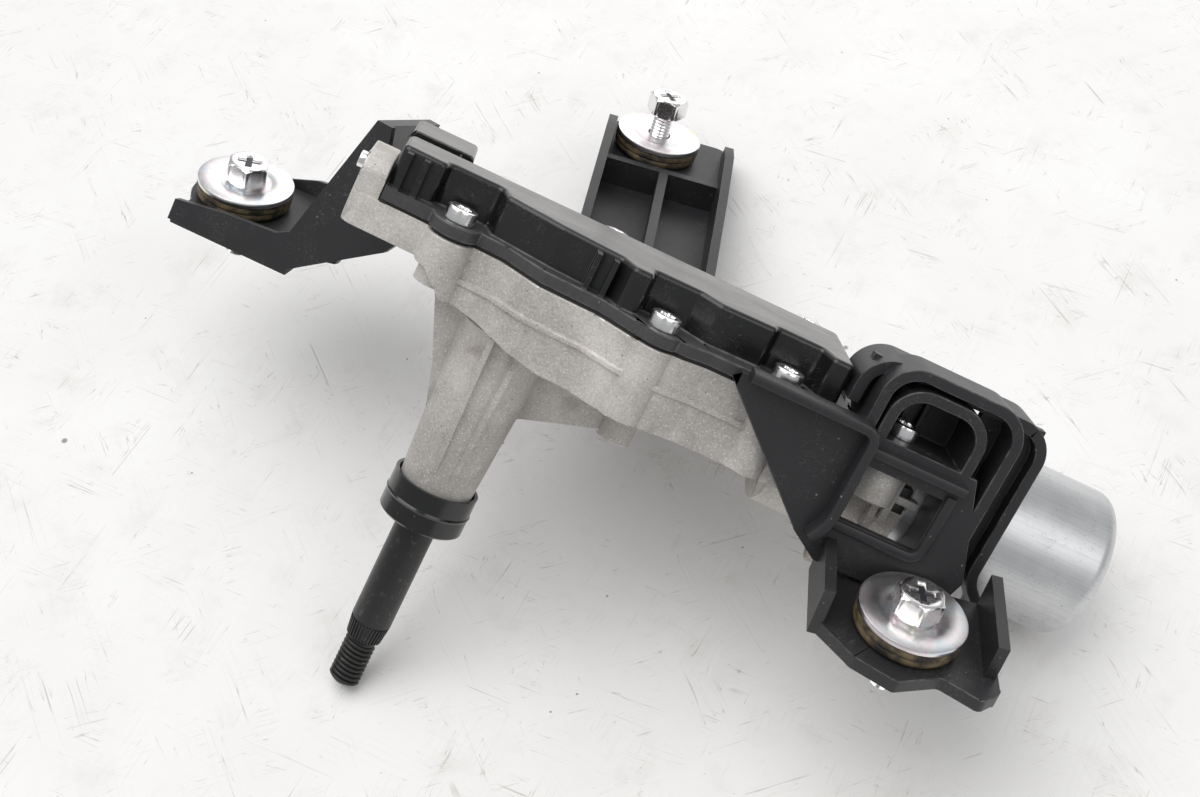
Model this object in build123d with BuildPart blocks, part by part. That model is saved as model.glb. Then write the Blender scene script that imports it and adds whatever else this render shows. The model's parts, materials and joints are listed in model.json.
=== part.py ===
from build123d import *
import os
from math import acos, asin, atan2, cos, degrees, pi, radians, sin, sqrt, tan

os.makedirs("parts", exist_ok=True)

# Rear wiper motor, in millimetres. Z runs up the output spindle, the origin is where the
# spindle's plain part starts, X runs to the motor can and -Y looks at the screw lugs.

# Fits
PRESS_GAP = 0.02
RUNNING_GAP = 0.05
FREE_GAP = 0.3

# Output spindle and its tube
SPINDLE_R = 5.0
EXPOSED_LENGTH = 29.0
JOURNAL_R = 4.7
CONE_LENGTH = 5.0
CONE_TIP_R = 4.4
THREAD_R = 4.0
THREAD_LENGTH = 12.9
TUBE_MOUTH_Z = 34.0
TUBE_MOUTH_R = 8.75
TUBE_ROOT_R = 11.4
TUBE_BORE_R = 7.2
BUSH_LENGTH = 13.0
SEAL_HEIGHT = 2.4
CLIP_THICKNESS = 1.2
CLIP_R = 7.4
WASHER_THICKNESS = 0.8

# Dust collar on the tube's mouth
COLLAR_R = 10.45
COLLAR_LENGTH = 10.3
COLLAR_FLOOR = 2.0
COLLAR_WALL = 0.8
COLLAR_GRIP = 3.2

# Gear case
CASE_BOTTOM_Z = 79.0
CASE_JOINT_Z = 97.0
CASE_WALL = 2.5
CASE_FLOOR = 2.5
CASE_CORNER_R = 3.5
CASE_BEAD = 0.7
BEAD_HEIGHT = 1.2
END_BOTTOM_Z = 89.5
END_BLOCK_X = -45.0
END_BLOCK_THICKNESS = 6.0
END_BLOCK_TOP_Z = 105.5
END_BLOCK_Y = (-9.3, 13.0)
LUG_R = 5.6
COVER_LEFT_X = END_BLOCK_X + END_BLOCK_THICKNESS + 0.3
SEAL_THICKNESS = 0.8
SEAL_WIDTH = 1.6

# Cover
FLANGE_THICKNESS = 3.0
COVER_WALL = 2.0
FRONT_DOME_Z = 110.5
REAR_DOME_Z = 102.6
DOME_SPLIT_Y = 7.0

# Worm drive
WORM_AXIS_Z = 85.3
WORM_R = 4.5
WORM_LENGTH = 18.0
ARMATURE_SHAFT_R = 2.5
WHEEL_CENTRE = (47.0, 27.0)
WHEEL_TEETH = 50
WHEEL_MODULE = 0.9
WHEEL_FACE = 6.4
WHEEL_HUB_R = 7.5
AXLE_R = 3.5
WHEEL_PHASE = 0.0
WHEEL_TOOTH_THINNING = 0.55
WORM_THINNING = 0.06
PARK_RING_R = 15.5
PARK_RING_THICKNESS = 0.4

# Crank linkage and output gears
GEAR_MODULE = 1.25
GEAR_PRESSURE_ANGLE = 25.0
PINION_TEETH = 12
SECTOR_TEETH = 30
SECTOR_CUT_TEETH = 7
SECTOR_BEARING = 20.0
TOOTH_THINNING = 0.12
CRANK_R = 7.7
LEVER_R = 17.0
ROD_LENGTH = 29.9
SECTOR_Z = 91.0
SECTOR_THICKNESS = 4.0
ROD_THICKNESS = 2.5
LINK_PIN_R = 2.5
SECTOR_PIN_R = 3.5
EYE_R = 4.6

# Contact board
BOARD_Z = 99.0
BOARD_THICKNESS = 1.4
BOARD_POSTS = [(-12.0, 1.5), (30.0, -9.0), (60.0, -9.0)]
BOARD_OUTLINE = [
    (-24.0, -1.5),
    (-8.0, -1.5),
    (0.0, -11.0),
    (68.2, -12.5),
    (68.2, 31.4),
    (61.8, 31.4),
    (61.8, 8.0),
    (-24.0, 4.5),
]

# Motor
BELL_X = 67.0
CAN_X = 97.0
CAN_END_X = 148.0
CAN_R = 18.5
CAN_WALL = 1.5
CAN_EDGE_R = 4.0
CORE_R = 12.6
CORE_LENGTH = 30.0
CORE_X = 101.5
MAGNET_THICKNESS = 3.4
AIR_GAP = 0.8
SLOTS = 8
COMMUTATOR_R = 6.5
COMMUTATOR_X = 79.0
COMMUTATOR_LENGTH = 11.0
BRUSH_SIZE = (5.0, 5.0, 4.0)

# Mounting feet: washer tops, and the lean of their bolts from the spindle
FEET_ROLL = 11.1
FEET_PITCH = 18.25
LEFT_FOOT = (-73.9, 63.0, 71.1)
REAR_FOOT = (23.9, 121.1, 121.6)
FRONT_FOOT = (101.3, -42.8, 71.9)
BOLT_R = 3.0
BOLT_LENGTH = 22.5
BOLT_THREAD_LENGTH = 8.0
BOLT_NECK_R = 2.7
BOLT_HEAD_AF = 10.0
BOLT_HEAD_HEIGHT = 5.6
REAR_BOLT_LIFT = 6.5
FOOT_WASHER_R = 12.5
FOOT_WASHER_THICKNESS = 1.6
GROMMET_FLANGE_R = 11.6
GROMMET_FLANGE = 4.4
GROMMET_NECK_R = 8.0
PAD_THICKNESS = 3.4
SLEEVE_R = 5.0
SLEEVE_BORE_R = 3.2
BOLT_TURN = {"left": 10.0, "rear": 25.0, "front": 5.0}

# Plastic brackets
BRACKET_WALL = 2.6
BRACKET_FRONT_Y = -30.0
LEDGE_TAB_R = 4.6
REAR_ROOT_THICKNESS = 3.0
ARM_GAP = 0.0

# Screws
LUG_SCREW_R = 2.0
LUG_SCREW_HEAD_R = 3.6
LUG_SCREW_HEAD = 3.2
LUG_SCREW_LENGTH = 11.0

FLANGE_Z = CASE_JOINT_Z + SEAL_THICKNESS
FLANGE_TOP_Z = FLANGE_Z + FLANGE_THICKNESS
COVER_SCREWS = [(-21.3, -12.0), (27.5, -23.5), (-12.0, 33.0), (17.0, 42.0), (71.0, 43.0)]
LEDGE_SCREW = (57.5, -21.5)
TRAY_SCREW = (86.5, -21.5)
RIM_SCREWS = COVER_SCREWS + [LEDGE_SCREW]


def save(piece, name):
    """Label a finished piece and write its STEP file."""
    piece.part.label = name
    export_step(piece.part, f"parts/{name}.step")


# Case outline, seen from above: the front edge runs left to right, then back round the wheel
OUTLINE_FRONT = [(-45.0, -9.5), (-28.0, -11.0), (-9.0, -14.0), (0.0, -20.5), (14.0, -22.0)]
OUTLINE_RIGHT = [(22.0, -27.0), (34.0, -27.0), (40.0, -25.0), (74.0, -25.0), (74.0, 44.0)]
OUTLINE_BACK = [(66.0, 54.0), (24.0, 54.0), (14.0, 38.0), (4.0, 30.0), (-20.0, 28.5), (-45.0, 36.5)]
OUTLINE = OUTLINE_FRONT + OUTLINE_RIGHT + OUTLINE_BACK


def outline_sketch(plane, grow=0.0, lugs=0.0, screws=()):
    """Face of the case outline on a plane, grown by an amount, with lugs of a radius at screws."""
    with BuildSketch(plane) as sketch:
        with BuildLine():
            Polyline(*OUTLINE, close=True)
        make_face()
        fillet(sketch.vertices(), CASE_CORNER_R)
        if grow:
            offset(amount=grow)
        if screws:
            with Locations(*screws):
                Circle(lugs)
    return sketch.sketch


# Linkage geometry: the lever's two dead centres give the wipe angle
GEAR_CENTRES = GEAR_MODULE * (PINION_TEETH + SECTOR_TEETH) / 2
SECTOR_PIVOT = (
    GEAR_CENTRES * cos(radians(SECTOR_BEARING)),
    GEAR_CENTRES * sin(radians(SECTOR_BEARING)),
)
WHEEL_OFFSET = (WHEEL_CENTRE[0] - SECTOR_PIVOT[0], WHEEL_CENTRE[1] - SECTOR_PIVOT[1])
GROUND_LENGTH = sqrt(WHEEL_OFFSET[0] ** 2 + WHEEL_OFFSET[1] ** 2)
GROUND_ANGLE = degrees(atan2(WHEEL_OFFSET[1], WHEEL_OFFSET[0]))


def lever_angle(reach):
    """Lever direction in degrees when its pin is a given distance from the wheel's centre."""
    cosine = (GROUND_LENGTH**2 + LEVER_R**2 - reach**2) / (2 * GROUND_LENGTH * LEVER_R)
    return GROUND_ANGLE + degrees(acos(cosine))


LEVER_PARKED = lever_angle(ROD_LENGTH + CRANK_R)
LEVER_TURNED = lever_angle(ROD_LENGTH - CRANK_R)
LEVER_SWING = LEVER_PARKED - LEVER_TURNED
WIPE_ANGLE = LEVER_SWING * SECTOR_TEETH / PINION_TEETH


def lever_pin(angle):
    """Place of the lever's pin at a lever direction."""
    x = SECTOR_PIVOT[0] + LEVER_R * cos(radians(angle))
    y = SECTOR_PIVOT[1] + LEVER_R * sin(radians(angle))
    return (x, y)


def rod_direction(pin):
    """Direction in degrees from a lever pin to the wheel's centre."""
    return degrees(atan2(WHEEL_CENTRE[1] - pin[1], WHEEL_CENTRE[0] - pin[0]))


LINK_PIN = lever_pin(LEVER_PARKED)
ROD_ANGLE = rod_direction(LINK_PIN)
ROD_TURN = ROD_ANGLE - rod_direction(lever_pin(LEVER_TURNED))
CRANK_PIN = (
    LINK_PIN[0] + ROD_LENGTH * cos(radians(ROD_ANGLE)),
    LINK_PIN[1] + ROD_LENGTH * sin(radians(ROD_ANGLE)),
)
print(f"wipe {WIPE_ANGLE:.3f} lever {LEVER_SWING:.3f} rod {ROD_TURN:.3f} link {LINK_PIN} crank {CRANK_PIN}")

# Heights in the case
CASE_FLOOR_Z = CASE_BOTTOM_Z + CASE_FLOOR
WHEEL_BOTTOM_Z = WORM_AXIS_Z - WHEEL_FACE / 2
WHEEL_TOP_Z = WORM_AXIS_Z + WHEEL_FACE / 2
SECTOR_TOP_Z = SECTOR_Z + SECTOR_THICKNESS
ROD_Z = SECTOR_TOP_Z + FREE_GAP
ROD_TOP_Z = ROD_Z + ROD_THICKNESS
PIVOT_BOSS_TOP_Z = SECTOR_Z - FREE_GAP
WORM_TIP_R = WORM_R + WHEEL_MODULE
WHEEL_R = WHEEL_MODULE * WHEEL_TEETH / 2
CLIP_Z = TUBE_MOUTH_Z - WASHER_THICKNESS - FREE_GAP - CLIP_THICKNESS
UPPER_BUSH_TOP_Z = SECTOR_Z - WASHER_THICKNESS - FREE_GAP
MOTOR_AXIS = Plane(origin=(0, 0, WORM_AXIS_Z), x_dir=(0, 1, 0), z_dir=(1, 0, 0))


def motor_plane(x):
    """Plane square to the motor's axis; its own x is the part's Y and its own y the part's Z."""
    return MOTOR_AXIS.offset(x)


# Gear case: floor and walls, shallow left end, spindle tube, bosses and the motor's bell
UNDERSIDE_LEFT = [(-60.0, 60.0), (-60.0, END_BOTTOM_Z), (-24.0, END_BOTTOM_Z)]
UNDERSIDE = UNDERSIDE_LEFT + [(-18.0, 84.0), (8.0, CASE_BOTTOM_Z), (8.0, 60.0)]
CLAMP_BOSS = (32.5, -2.0)
CLAMP_BOSS_R = 4.0
CLAMP_BOSS_Z = 67.0
TUBE_WEB = 2.4
WEB_TOP = [(-19.0, 81.0), (-18.0, 85.0), (0.0, 84.0), (47.0, 80.0), (47.0, 76.0)]
WEB_FOOT = [(28.0, 67.5), (11.0, 62.0), (-8.5, 50.0), (-13.0, 66.0)]
BELL_WALL = 2.2
BELL_BACK_X = 77.5
FRONT_BUSH_R = 5.0
WORM_BUSH_R = 4.0
WORM_BUSH_X = 24.0
WORM_BUSH_LENGTH = 6.0
END_SHAFT_R = 2.0
FRONT_BUSH_LENGTH = 6.0
EAR_R = 4.0
EAR_REACH = CAN_R + 4.0
EAR_BOSS_LENGTH = 10.0
REAR_ROOT_SCREWS = [28.5, 42.0]
REAR_ROOT_Z = 89.0
ARM_SEAT = Plane(
    origin=(OUTLINE_BACK[4][0], OUTLINE_BACK[4][1], 0),
    x_dir=(OUTLINE_BACK[5][0] - OUTLINE_BACK[4][0], OUTLINE_BACK[5][1] - OUTLINE_BACK[4][1], 0),
    z_dir=(OUTLINE_BACK[5][1] - OUTLINE_BACK[4][1], OUTLINE_BACK[4][0] - OUTLINE_BACK[5][0], 0),
)
ARM_SCREWS = [(9.5, 92.5), (19.0, 92.5)]
END_SCREW = (2.0, 101.5)


def below_case(height):
    """Prism of all that lies under the case's stepped and sloping underside, raised by a height."""
    with BuildPart() as piece:
        with BuildSketch(Plane.XZ.offset(-80)):
            with BuildLine():
                Polyline(*[(x, z + height) for x, z in UNDERSIDE], close=True)
            make_face()
        extrude(amount=160)
    return piece.part


with BuildPart() as case_hollow:
    add(extrude(outline_sketch(Plane.XY.offset(CASE_FLOOR_Z), -CASE_WALL), CASE_JOINT_Z - CASE_FLOOR_Z))
    add(below_case(CASE_FLOOR), mode=Mode.SUBTRACT)
    with BuildSketch(Plane.XY.offset(CASE_BOTTOM_Z)):
        with Locations((END_BLOCK_X, 0)):
            Rectangle(2 * END_BLOCK_THICKNESS, 120)
    extrude(amount=CASE_JOINT_Z - CASE_BOTTOM_Z, mode=Mode.SUBTRACT)

with BuildPart() as gear_case:
    case_face = outline_sketch(Plane.XY.offset(CASE_BOTTOM_Z), 0, LUG_R, RIM_SCREWS)
    add(extrude(case_face, CASE_JOINT_Z - CASE_BOTTOM_Z))
    # Bead along the die's parting line
    with BuildSketch(Plane.XY.offset(END_BOTTOM_Z - BEAD_HEIGHT)):
        add(outline_sketch(Plane.XY, CASE_BEAD))
        with Locations((0, OUTLINE_BACK[4][1] + 30)):
            Rectangle(300, 100, mode=Mode.SUBTRACT)
    extrude(amount=BEAD_HEIGHT)
    add(below_case(0), mode=Mode.SUBTRACT)
    # Left end block, standing up past the cover's end
    with BuildSketch(Plane.YZ.offset(END_BLOCK_X)):
        with Locations(((END_BLOCK_Y[0] + END_BLOCK_Y[1]) / 2, (END_BOTTOM_Z + END_BLOCK_TOP_Z) / 2)):
            RectangleRounded(END_BLOCK_Y[1] - END_BLOCK_Y[0], END_BLOCK_TOP_Z - END_BOTTOM_Z, 4.0)
    extrude(amount=END_BLOCK_THICKNESS)
    # Bell that carries the motor can
    with BuildSketch(motor_plane(BELL_X)):
        Circle(CAN_R - 1.0)
    with BuildSketch(motor_plane(CAN_X)):
        Circle(CAN_R)
    loft()
    with BuildSketch(Plane.XY.offset(CASE_JOINT_Z)):
        with Locations((BELL_BACK_X - 17.5, 0)):
            Rectangle(30, 60)
    extrude(amount=20, mode=Mode.SUBTRACT)
    # Bulge below the worm
    with BuildSketch(motor_plane(WORM_BUSH_X - 2)):
        Circle(WORM_TIP_R + CASE_WALL + 1)
    extrude(amount=BELL_X - WORM_BUSH_X + 4)
    # Boss for the bracket's tray screw, and two for the can's screws
    with BuildSketch(Plane.XY.offset(WORM_AXIS_Z)):
        with Locations((TRAY_SCREW[0], (TRAY_SCREW[1] - CAN_R + 6) / 2)):
            Rectangle(2 * LUG_R, -TRAY_SCREW[1] - CAN_R + 6)
        with Locations(TRAY_SCREW):
            Circle(LUG_R)
    extrude(amount=FLANGE_Z - WORM_AXIS_Z)
    with BuildSketch(motor_plane(CAN_X)):
        for way in (-1, 1):
            with Locations((0, way * EAR_REACH)):
                Circle(EAR_R)
            with Locations((0, way * (CAN_R + EAR_REACH - 3) / 2)):
                Rectangle(2 * EAR_R, EAR_REACH - CAN_R + 3)
    extrude(amount=-EAR_BOSS_LENGTH)
    # Cross ribs on the bell's front, seen through the bracket's window
    for rib_x in (83.0, 90.0):
        with BuildSketch(Plane.XZ.offset(CAN_R - 6)):
            with Locations((rib_x, WORM_AXIS_Z - 1)):
                Rectangle(1.8, 14)
        extrude(amount=7.5)
    with BuildSketch(Plane.XZ.offset(CAN_R - 6)):
        with Locations((88.0, WORM_AXIS_Z - 1)):
            Rectangle(17, 1.8)
    extrude(amount=7.5)
    # Spindle tube with its two thin ribs and gusset
    with BuildSketch(Plane.XY.offset(TUBE_MOUTH_Z)):
        Circle(TUBE_MOUTH_R)
    with BuildSketch(Plane.XY.offset(CASE_BOTTOM_Z + 1)):
        Circle(TUBE_ROOT_R)
    loft()
    with BuildSketch(Plane.XZ.offset(-TUBE_WEB / 2)):
        with BuildLine():
            Polyline(*WEB_TOP, *WEB_FOOT, close=True)
        make_face()
    extrude(amount=TUBE_WEB)
    with BuildSketch(Plane.XY.offset(CLAMP_BOSS_Z)):
        with Locations(CLAMP_BOSS):
            Circle(CLAMP_BOSS_R)
    extrude(amount=CASE_BOTTOM_Z + 1 - CLAMP_BOSS_Z)
    for rib_angle in (-75, -105):
        rib_direction = (cos(radians(rib_angle)), sin(radians(rib_angle)), 0)
        rib_normal = (rib_direction[1], -rib_direction[0], 0)
        with BuildSketch(Plane(origin=(0, 0, 0), x_dir=rib_direction, z_dir=rib_normal)):
            with BuildLine():
                Polyline((6, 44), (9.4, 44), (14.0, 80), (6, 80), close=True)
            make_face()
        extrude(amount=0.7, both=True)
    # Inside of the case
    add(case_hollow.part, mode=Mode.SUBTRACT)
    # Screw posts inside the lugs
    with BuildSketch(Plane.XY.offset(END_BOTTOM_Z - 4)):
        with Locations(*RIM_SCREWS):
            Circle(LUG_R - 1.6)
    extrude(amount=CASE_JOINT_Z - END_BOTTOM_Z + 4)
    # Bosses for the spindle, the sector's pin and the wheel's axle
    with BuildSketch(Plane.XY.offset(CASE_BOTTOM_Z)):
        Circle(TUBE_BORE_R + CASE_WALL)
    extrude(amount=UPPER_BUSH_TOP_Z - CASE_BOTTOM_Z)
    with BuildSketch(Plane.XY.offset(CASE_BOTTOM_Z)):
        with Locations(SECTOR_PIVOT):
            Circle(SECTOR_PIN_R + 1.0)
    extrude(amount=PIVOT_BOSS_TOP_Z - CASE_BOTTOM_Z)
    with BuildSketch(Plane.XY.offset(CASE_BOTTOM_Z - 3)):
        with Locations(WHEEL_CENTRE):
            Circle(AXLE_R + 3.0)
    extrude(amount=CASE_FLOOR_Z - CASE_BOTTOM_Z + 3)
    # Block that carries the worm's end bush
    with BuildSketch(Plane.XY.offset(CASE_BOTTOM_Z)):
        with Locations((WORM_BUSH_X + WORM_BUSH_LENGTH / 2, 0)):
            Rectangle(WORM_BUSH_LENGTH, 2 * WORM_BUSH_R + 4)
    extrude(amount=WORM_AXIS_Z + WORM_BUSH_R + 1.2 - CASE_BOTTOM_Z)
    # Trough under the worm and the bores on the motor's axis
    with BuildSketch(motor_plane(WORM_BUSH_X + WORM_BUSH_LENGTH)):
        Circle(WORM_TIP_R + 0.6)
    extrude(amount=BELL_X - WORM_BUSH_X - WORM_BUSH_LENGTH, mode=Mode.SUBTRACT)
    with BuildSketch(motor_plane(WORM_BUSH_X)):
        Circle(WORM_BUSH_R + PRESS_GAP)
    extrude(amount=WORM_BUSH_LENGTH, mode=Mode.SUBTRACT)
    with BuildSketch(motor_plane(BELL_X)):
        Circle(FRONT_BUSH_R + PRESS_GAP)
    extrude(amount=BELL_BACK_X - BELL_X, mode=Mode.SUBTRACT)
    with BuildSketch(motor_plane(BELL_BACK_X)):
        Circle(CAN_R - 1.0 - BELL_WALL)
    extrude(amount=CAN_X - BELL_BACK_X, mode=Mode.SUBTRACT)
    # Bores for the spindle, pins and screws
    with BuildSketch(Plane.XY.offset(TUBE_MOUTH_Z)):
        Circle(TUBE_BORE_R)
    extrude(amount=UPPER_BUSH_TOP_Z - TUBE_MOUTH_Z, mode=Mode.SUBTRACT)
    with BuildSketch(Plane.XY.offset(CASE_BOTTOM_Z)):
        with Locations(SECTOR_PIVOT):
            Circle(SECTOR_PIN_R + PRESS_GAP)
        with Locations(WHEEL_CENTRE):
            Circle(AXLE_R + PRESS_GAP)
    extrude(amount=PIVOT_BOSS_TOP_Z - CASE_BOTTOM_Z, mode=Mode.SUBTRACT)
    with BuildSketch(Plane.XY.offset(FLANGE_TOP_Z - LUG_SCREW_LENGTH)):
        with Locations(*RIM_SCREWS, TRAY_SCREW):
            Circle(LUG_SCREW_R + PRESS_GAP)
    extrude(amount=LUG_SCREW_LENGTH, mode=Mode.SUBTRACT)
    with BuildSketch(motor_plane(CAN_X - EAR_BOSS_LENGTH + 1)):
        for way in (-1, 1):
            with Locations((0, way * EAR_REACH)):
                Circle(LUG_SCREW_R + PRESS_GAP)
    extrude(amount=EAR_BOSS_LENGTH - 1, mode=Mode.SUBTRACT)
    with BuildSketch(Plane.YZ.offset(END_BLOCK_X)):
        with Locations(END_SCREW):
            Circle(LUG_SCREW_R + PRESS_GAP)
    extrude(amount=END_BLOCK_THICKNESS - 0.5, mode=Mode.SUBTRACT)
    with BuildSketch(Plane.XZ.offset(-54.0)):
        with Locations(*[(x, REAR_ROOT_Z) for x in REAR_ROOT_SCREWS]):
            Circle(LUG_SCREW_R + PRESS_GAP)
    extrude(amount=CASE_WALL, mode=Mode.SUBTRACT)
    with BuildSketch(ARM_SEAT):
        with Locations(*ARM_SCREWS):
            Circle(LUG_SCREW_R + PRESS_GAP)
    extrude(amount=-CASE_WALL - 3, mode=Mode.SUBTRACT)
save(gear_case, "gear_case")

# Cover seal: a cord of rubber between the case's rim and the cover's flange
with BuildPart() as cover_seal:
    with BuildSketch(Plane.XY.offset(CASE_JOINT_Z)):
        add(outline_sketch(Plane.XY, -0.4))
        add(outline_sketch(Plane.XY, -0.4 - SEAL_WIDTH), mode=Mode.SUBTRACT)
        with Locations(*RIM_SCREWS):
            Circle(LUG_R - 1)
        with Locations(((END_BLOCK_X + COVER_LEFT_X + SEAL_WIDTH) / 2, 10)):
            Rectangle(COVER_LEFT_X + SEAL_WIDTH - END_BLOCK_X, 60)
        with Locations(((END_BLOCK_X + COVER_LEFT_X) / 2, 10)):
            Rectangle(COVER_LEFT_X - END_BLOCK_X, 80, mode=Mode.SUBTRACT)
        with Locations(*RIM_SCREWS):
            Circle(LUG_SCREW_R + FREE_GAP, mode=Mode.SUBTRACT)
        add(outline_sketch(Plane.XY, 0.1, LUG_R, RIM_SCREWS), mode=Mode.INTERSECT)
    extrude(amount=SEAL_THICKNESS)
save(cover_seal, "cover_seal")

# Cover: flange on the seal, high front dome, low rear dome and the plug socket
DOME_RIGHT_X = 70.5
DOME_FRONT = [(-38.5, -7.5), (-28.0, -8.5), (-27.5, -5.0), (-15.0, -5.0), (-13.5, -11.0), (0.0, -16.0)]
DOME_MIDDLE = [(14.0, -19.0), (17.0, -23.5), (21.5, -23.5), (22.0, -17.0), (33.0, -17.0), (38.0, -20.5)]
DOME_END = [(51.5, -19.5), (52.0, -16.5), (63.0, -16.5), (65.5, -21.5), (DOME_RIGHT_X, -21.5)]
REAR_DOME = [(-38.5, 0.0), (DOME_RIGHT_X, 0.0), (DOME_RIGHT_X, 34.5)]
REAR_DOME += [(64.0, 37.5), (61.0, 50.0), (30.0, 50.0)]
REAR_DOME_LEFT = [(22.0, 37.0), (6.0, 27.0), (-20.0, 25.5), (-38.5, 31.0)]
SOCKET_X = -31.0
SOCKET_SIZE = (16.0, 8.4)
SOCKET_FRONT_Y = 29.0
SOCKET_BACK_Y = 46.0
SOCKET_Z = 103.6
SOCKET_WALL = 1.5
SOCKET_DEPTH = 13.0
BLADE_SIZE = (0.8, 2.8)
BLADE_REACH = 6.0
BLADE_PITCH = 3.6
BLADES = 4
DOME_CORNER_R = 1.6


def dome_sketch(plane, points, wall=0.0):
    """Rounded face through a dome's corner points, or the sharp one of its hollow inside a wall."""
    with BuildSketch(plane) as sketch:
        with BuildLine():
            Polyline(*points, close=True)
        make_face()
        if wall:
            offset(amount=-wall, kind=Kind.INTERSECTION)
        else:
            fillet(sketch.vertices(), DOME_CORNER_R)
    return sketch.sketch


FRONT_DOME_POINTS = DOME_FRONT + DOME_MIDDLE + DOME_END
FRONT_DOME_POINTS += [(DOME_RIGHT_X, DOME_SPLIT_Y), (-38.5, DOME_SPLIT_Y)]
REAR_DOME_POINTS = REAR_DOME + REAR_DOME_LEFT

with BuildPart() as gear_cover:
    add(extrude(outline_sketch(Plane.XY.offset(FLANGE_Z), 0.3, LUG_R + 0.2, COVER_SCREWS), FLANGE_THICKNESS))
    add(extrude(dome_sketch(Plane.XY.offset(FLANGE_Z), REAR_DOME_POINTS), REAR_DOME_Z - FLANGE_Z))
    add(extrude(dome_sketch(Plane.XY.offset(FLANGE_Z), FRONT_DOME_POINTS), FRONT_DOME_Z - FLANGE_Z))
    fillet(gear_cover.faces().sort_by(Axis.Z)[-1].outer_wire().edges(), 1.2)
    # Plug socket, open to the back
    with BuildSketch(Plane.XZ.offset(-SOCKET_BACK_Y)):
        with Locations((SOCKET_X, SOCKET_Z)):
            RectangleRounded(*SOCKET_SIZE, 1.2)
    extrude(amount=SOCKET_BACK_Y - SOCKET_FRONT_Y)
    with BuildSketch(Plane.XY.offset(FLANGE_Z)):
        with Locations((SOCKET_X, (SOCKET_FRONT_Y + 33.0) / 2)):
            Rectangle(SOCKET_SIZE[0] - 3, 33.0 - SOCKET_FRONT_Y)
    extrude(amount=SOCKET_Z - FLANGE_Z)
    with BuildSketch(Plane.XZ.offset(-SOCKET_BACK_Y)):
        with Locations((SOCKET_X, SOCKET_Z)):
            Rectangle(SOCKET_SIZE[0] - 2 * SOCKET_WALL, SOCKET_SIZE[1] - 2 * SOCKET_WALL)
    extrude(amount=SOCKET_DEPTH, mode=Mode.SUBTRACT)
    # Ribs on the dome's front at the left end, and the raised lip of the middle bulge
    for rib_x in (-36.5, -32.5):
        with BuildSketch(Plane.XY.offset(FLANGE_Z)):
            with Locations((rib_x, -8.5)):
                Rectangle(1.4, 4.0)
        extrude(amount=FRONT_DOME_Z - 1.0 - FLANGE_Z)
    for rib_x in (9.0, 13.0):
        with BuildSketch(Plane.XY.offset(FLANGE_Z)):
            with Locations((rib_x, -19.0)):
                Rectangle(1.2, 4.4)
        extrude(amount=FRONT_DOME_Z - 1.2 - FLANGE_Z)
    # Hollow for the linkage and the contact board
    for points, top in ((REAR_DOME_POINTS, REAR_DOME_Z), (FRONT_DOME_POINTS, FRONT_DOME_Z)):
        hollow_face = dome_sketch(Plane.XY.offset(FLANGE_Z), points, COVER_WALL)
        hollow = extrude(hollow_face, top - COVER_WALL - FLANGE_Z)
        add(hollow, mode=Mode.SUBTRACT)
    # Posts that hold the contact board
    with BuildSketch(Plane.XY.offset(BOARD_Z + BOARD_THICKNESS)):
        with Locations(*BOARD_POSTS):
            Circle(2.2)
    extrude(amount=FRONT_DOME_Z - 1.0 - BOARD_Z - BOARD_THICKNESS)
    # The end block and the screws pass through
    with BuildSketch(Plane.XY.offset(FLANGE_Z - 1)):
        with Locations((COVER_LEFT_X - 10, 10)):
            Rectangle(20, 70)
    extrude(amount=FLANGE_THICKNESS + 1.5, mode=Mode.SUBTRACT)
    with BuildSketch(Plane.XY.offset(FLANGE_Z)):
        with Locations(*COVER_SCREWS):
            Circle(LUG_SCREW_R + FREE_GAP)
        with Locations(LEDGE_SCREW):
            Circle(LEDGE_TAB_R + FREE_GAP)
        with Locations((LEDGE_SCREW[0], LEDGE_SCREW[1] - LUG_R)):
            Rectangle(2 * LEDGE_TAB_R + 2 * FREE_GAP, 2 * LUG_R)
    extrude(amount=FLANGE_THICKNESS, mode=Mode.SUBTRACT)
save(gear_cover, "gear_cover")

# Blades of the plug socket
with BuildPart() as socket_blades:
    with BuildSketch(Plane.XZ.offset(-(SOCKET_BACK_Y - SOCKET_DEPTH + BLADE_REACH))):
        with Locations((SOCKET_X, SOCKET_Z)):
            with GridLocations(BLADE_PITCH, 1, BLADES, 1):
                Rectangle(*BLADE_SIZE)
    extrude(amount=BLADE_REACH)
save(socket_blades, "socket_blades")

# Contact board under the dome and its three spring fingers on the wheel's park ring
with BuildPart() as park_board:
    with BuildSketch(Plane.XY.offset(BOARD_Z)):
        with BuildLine():
            Polyline(*BOARD_OUTLINE, close=True)
        make_face()
    extrude(amount=BOARD_THICKNESS)
save(park_board, "park_board")

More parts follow.
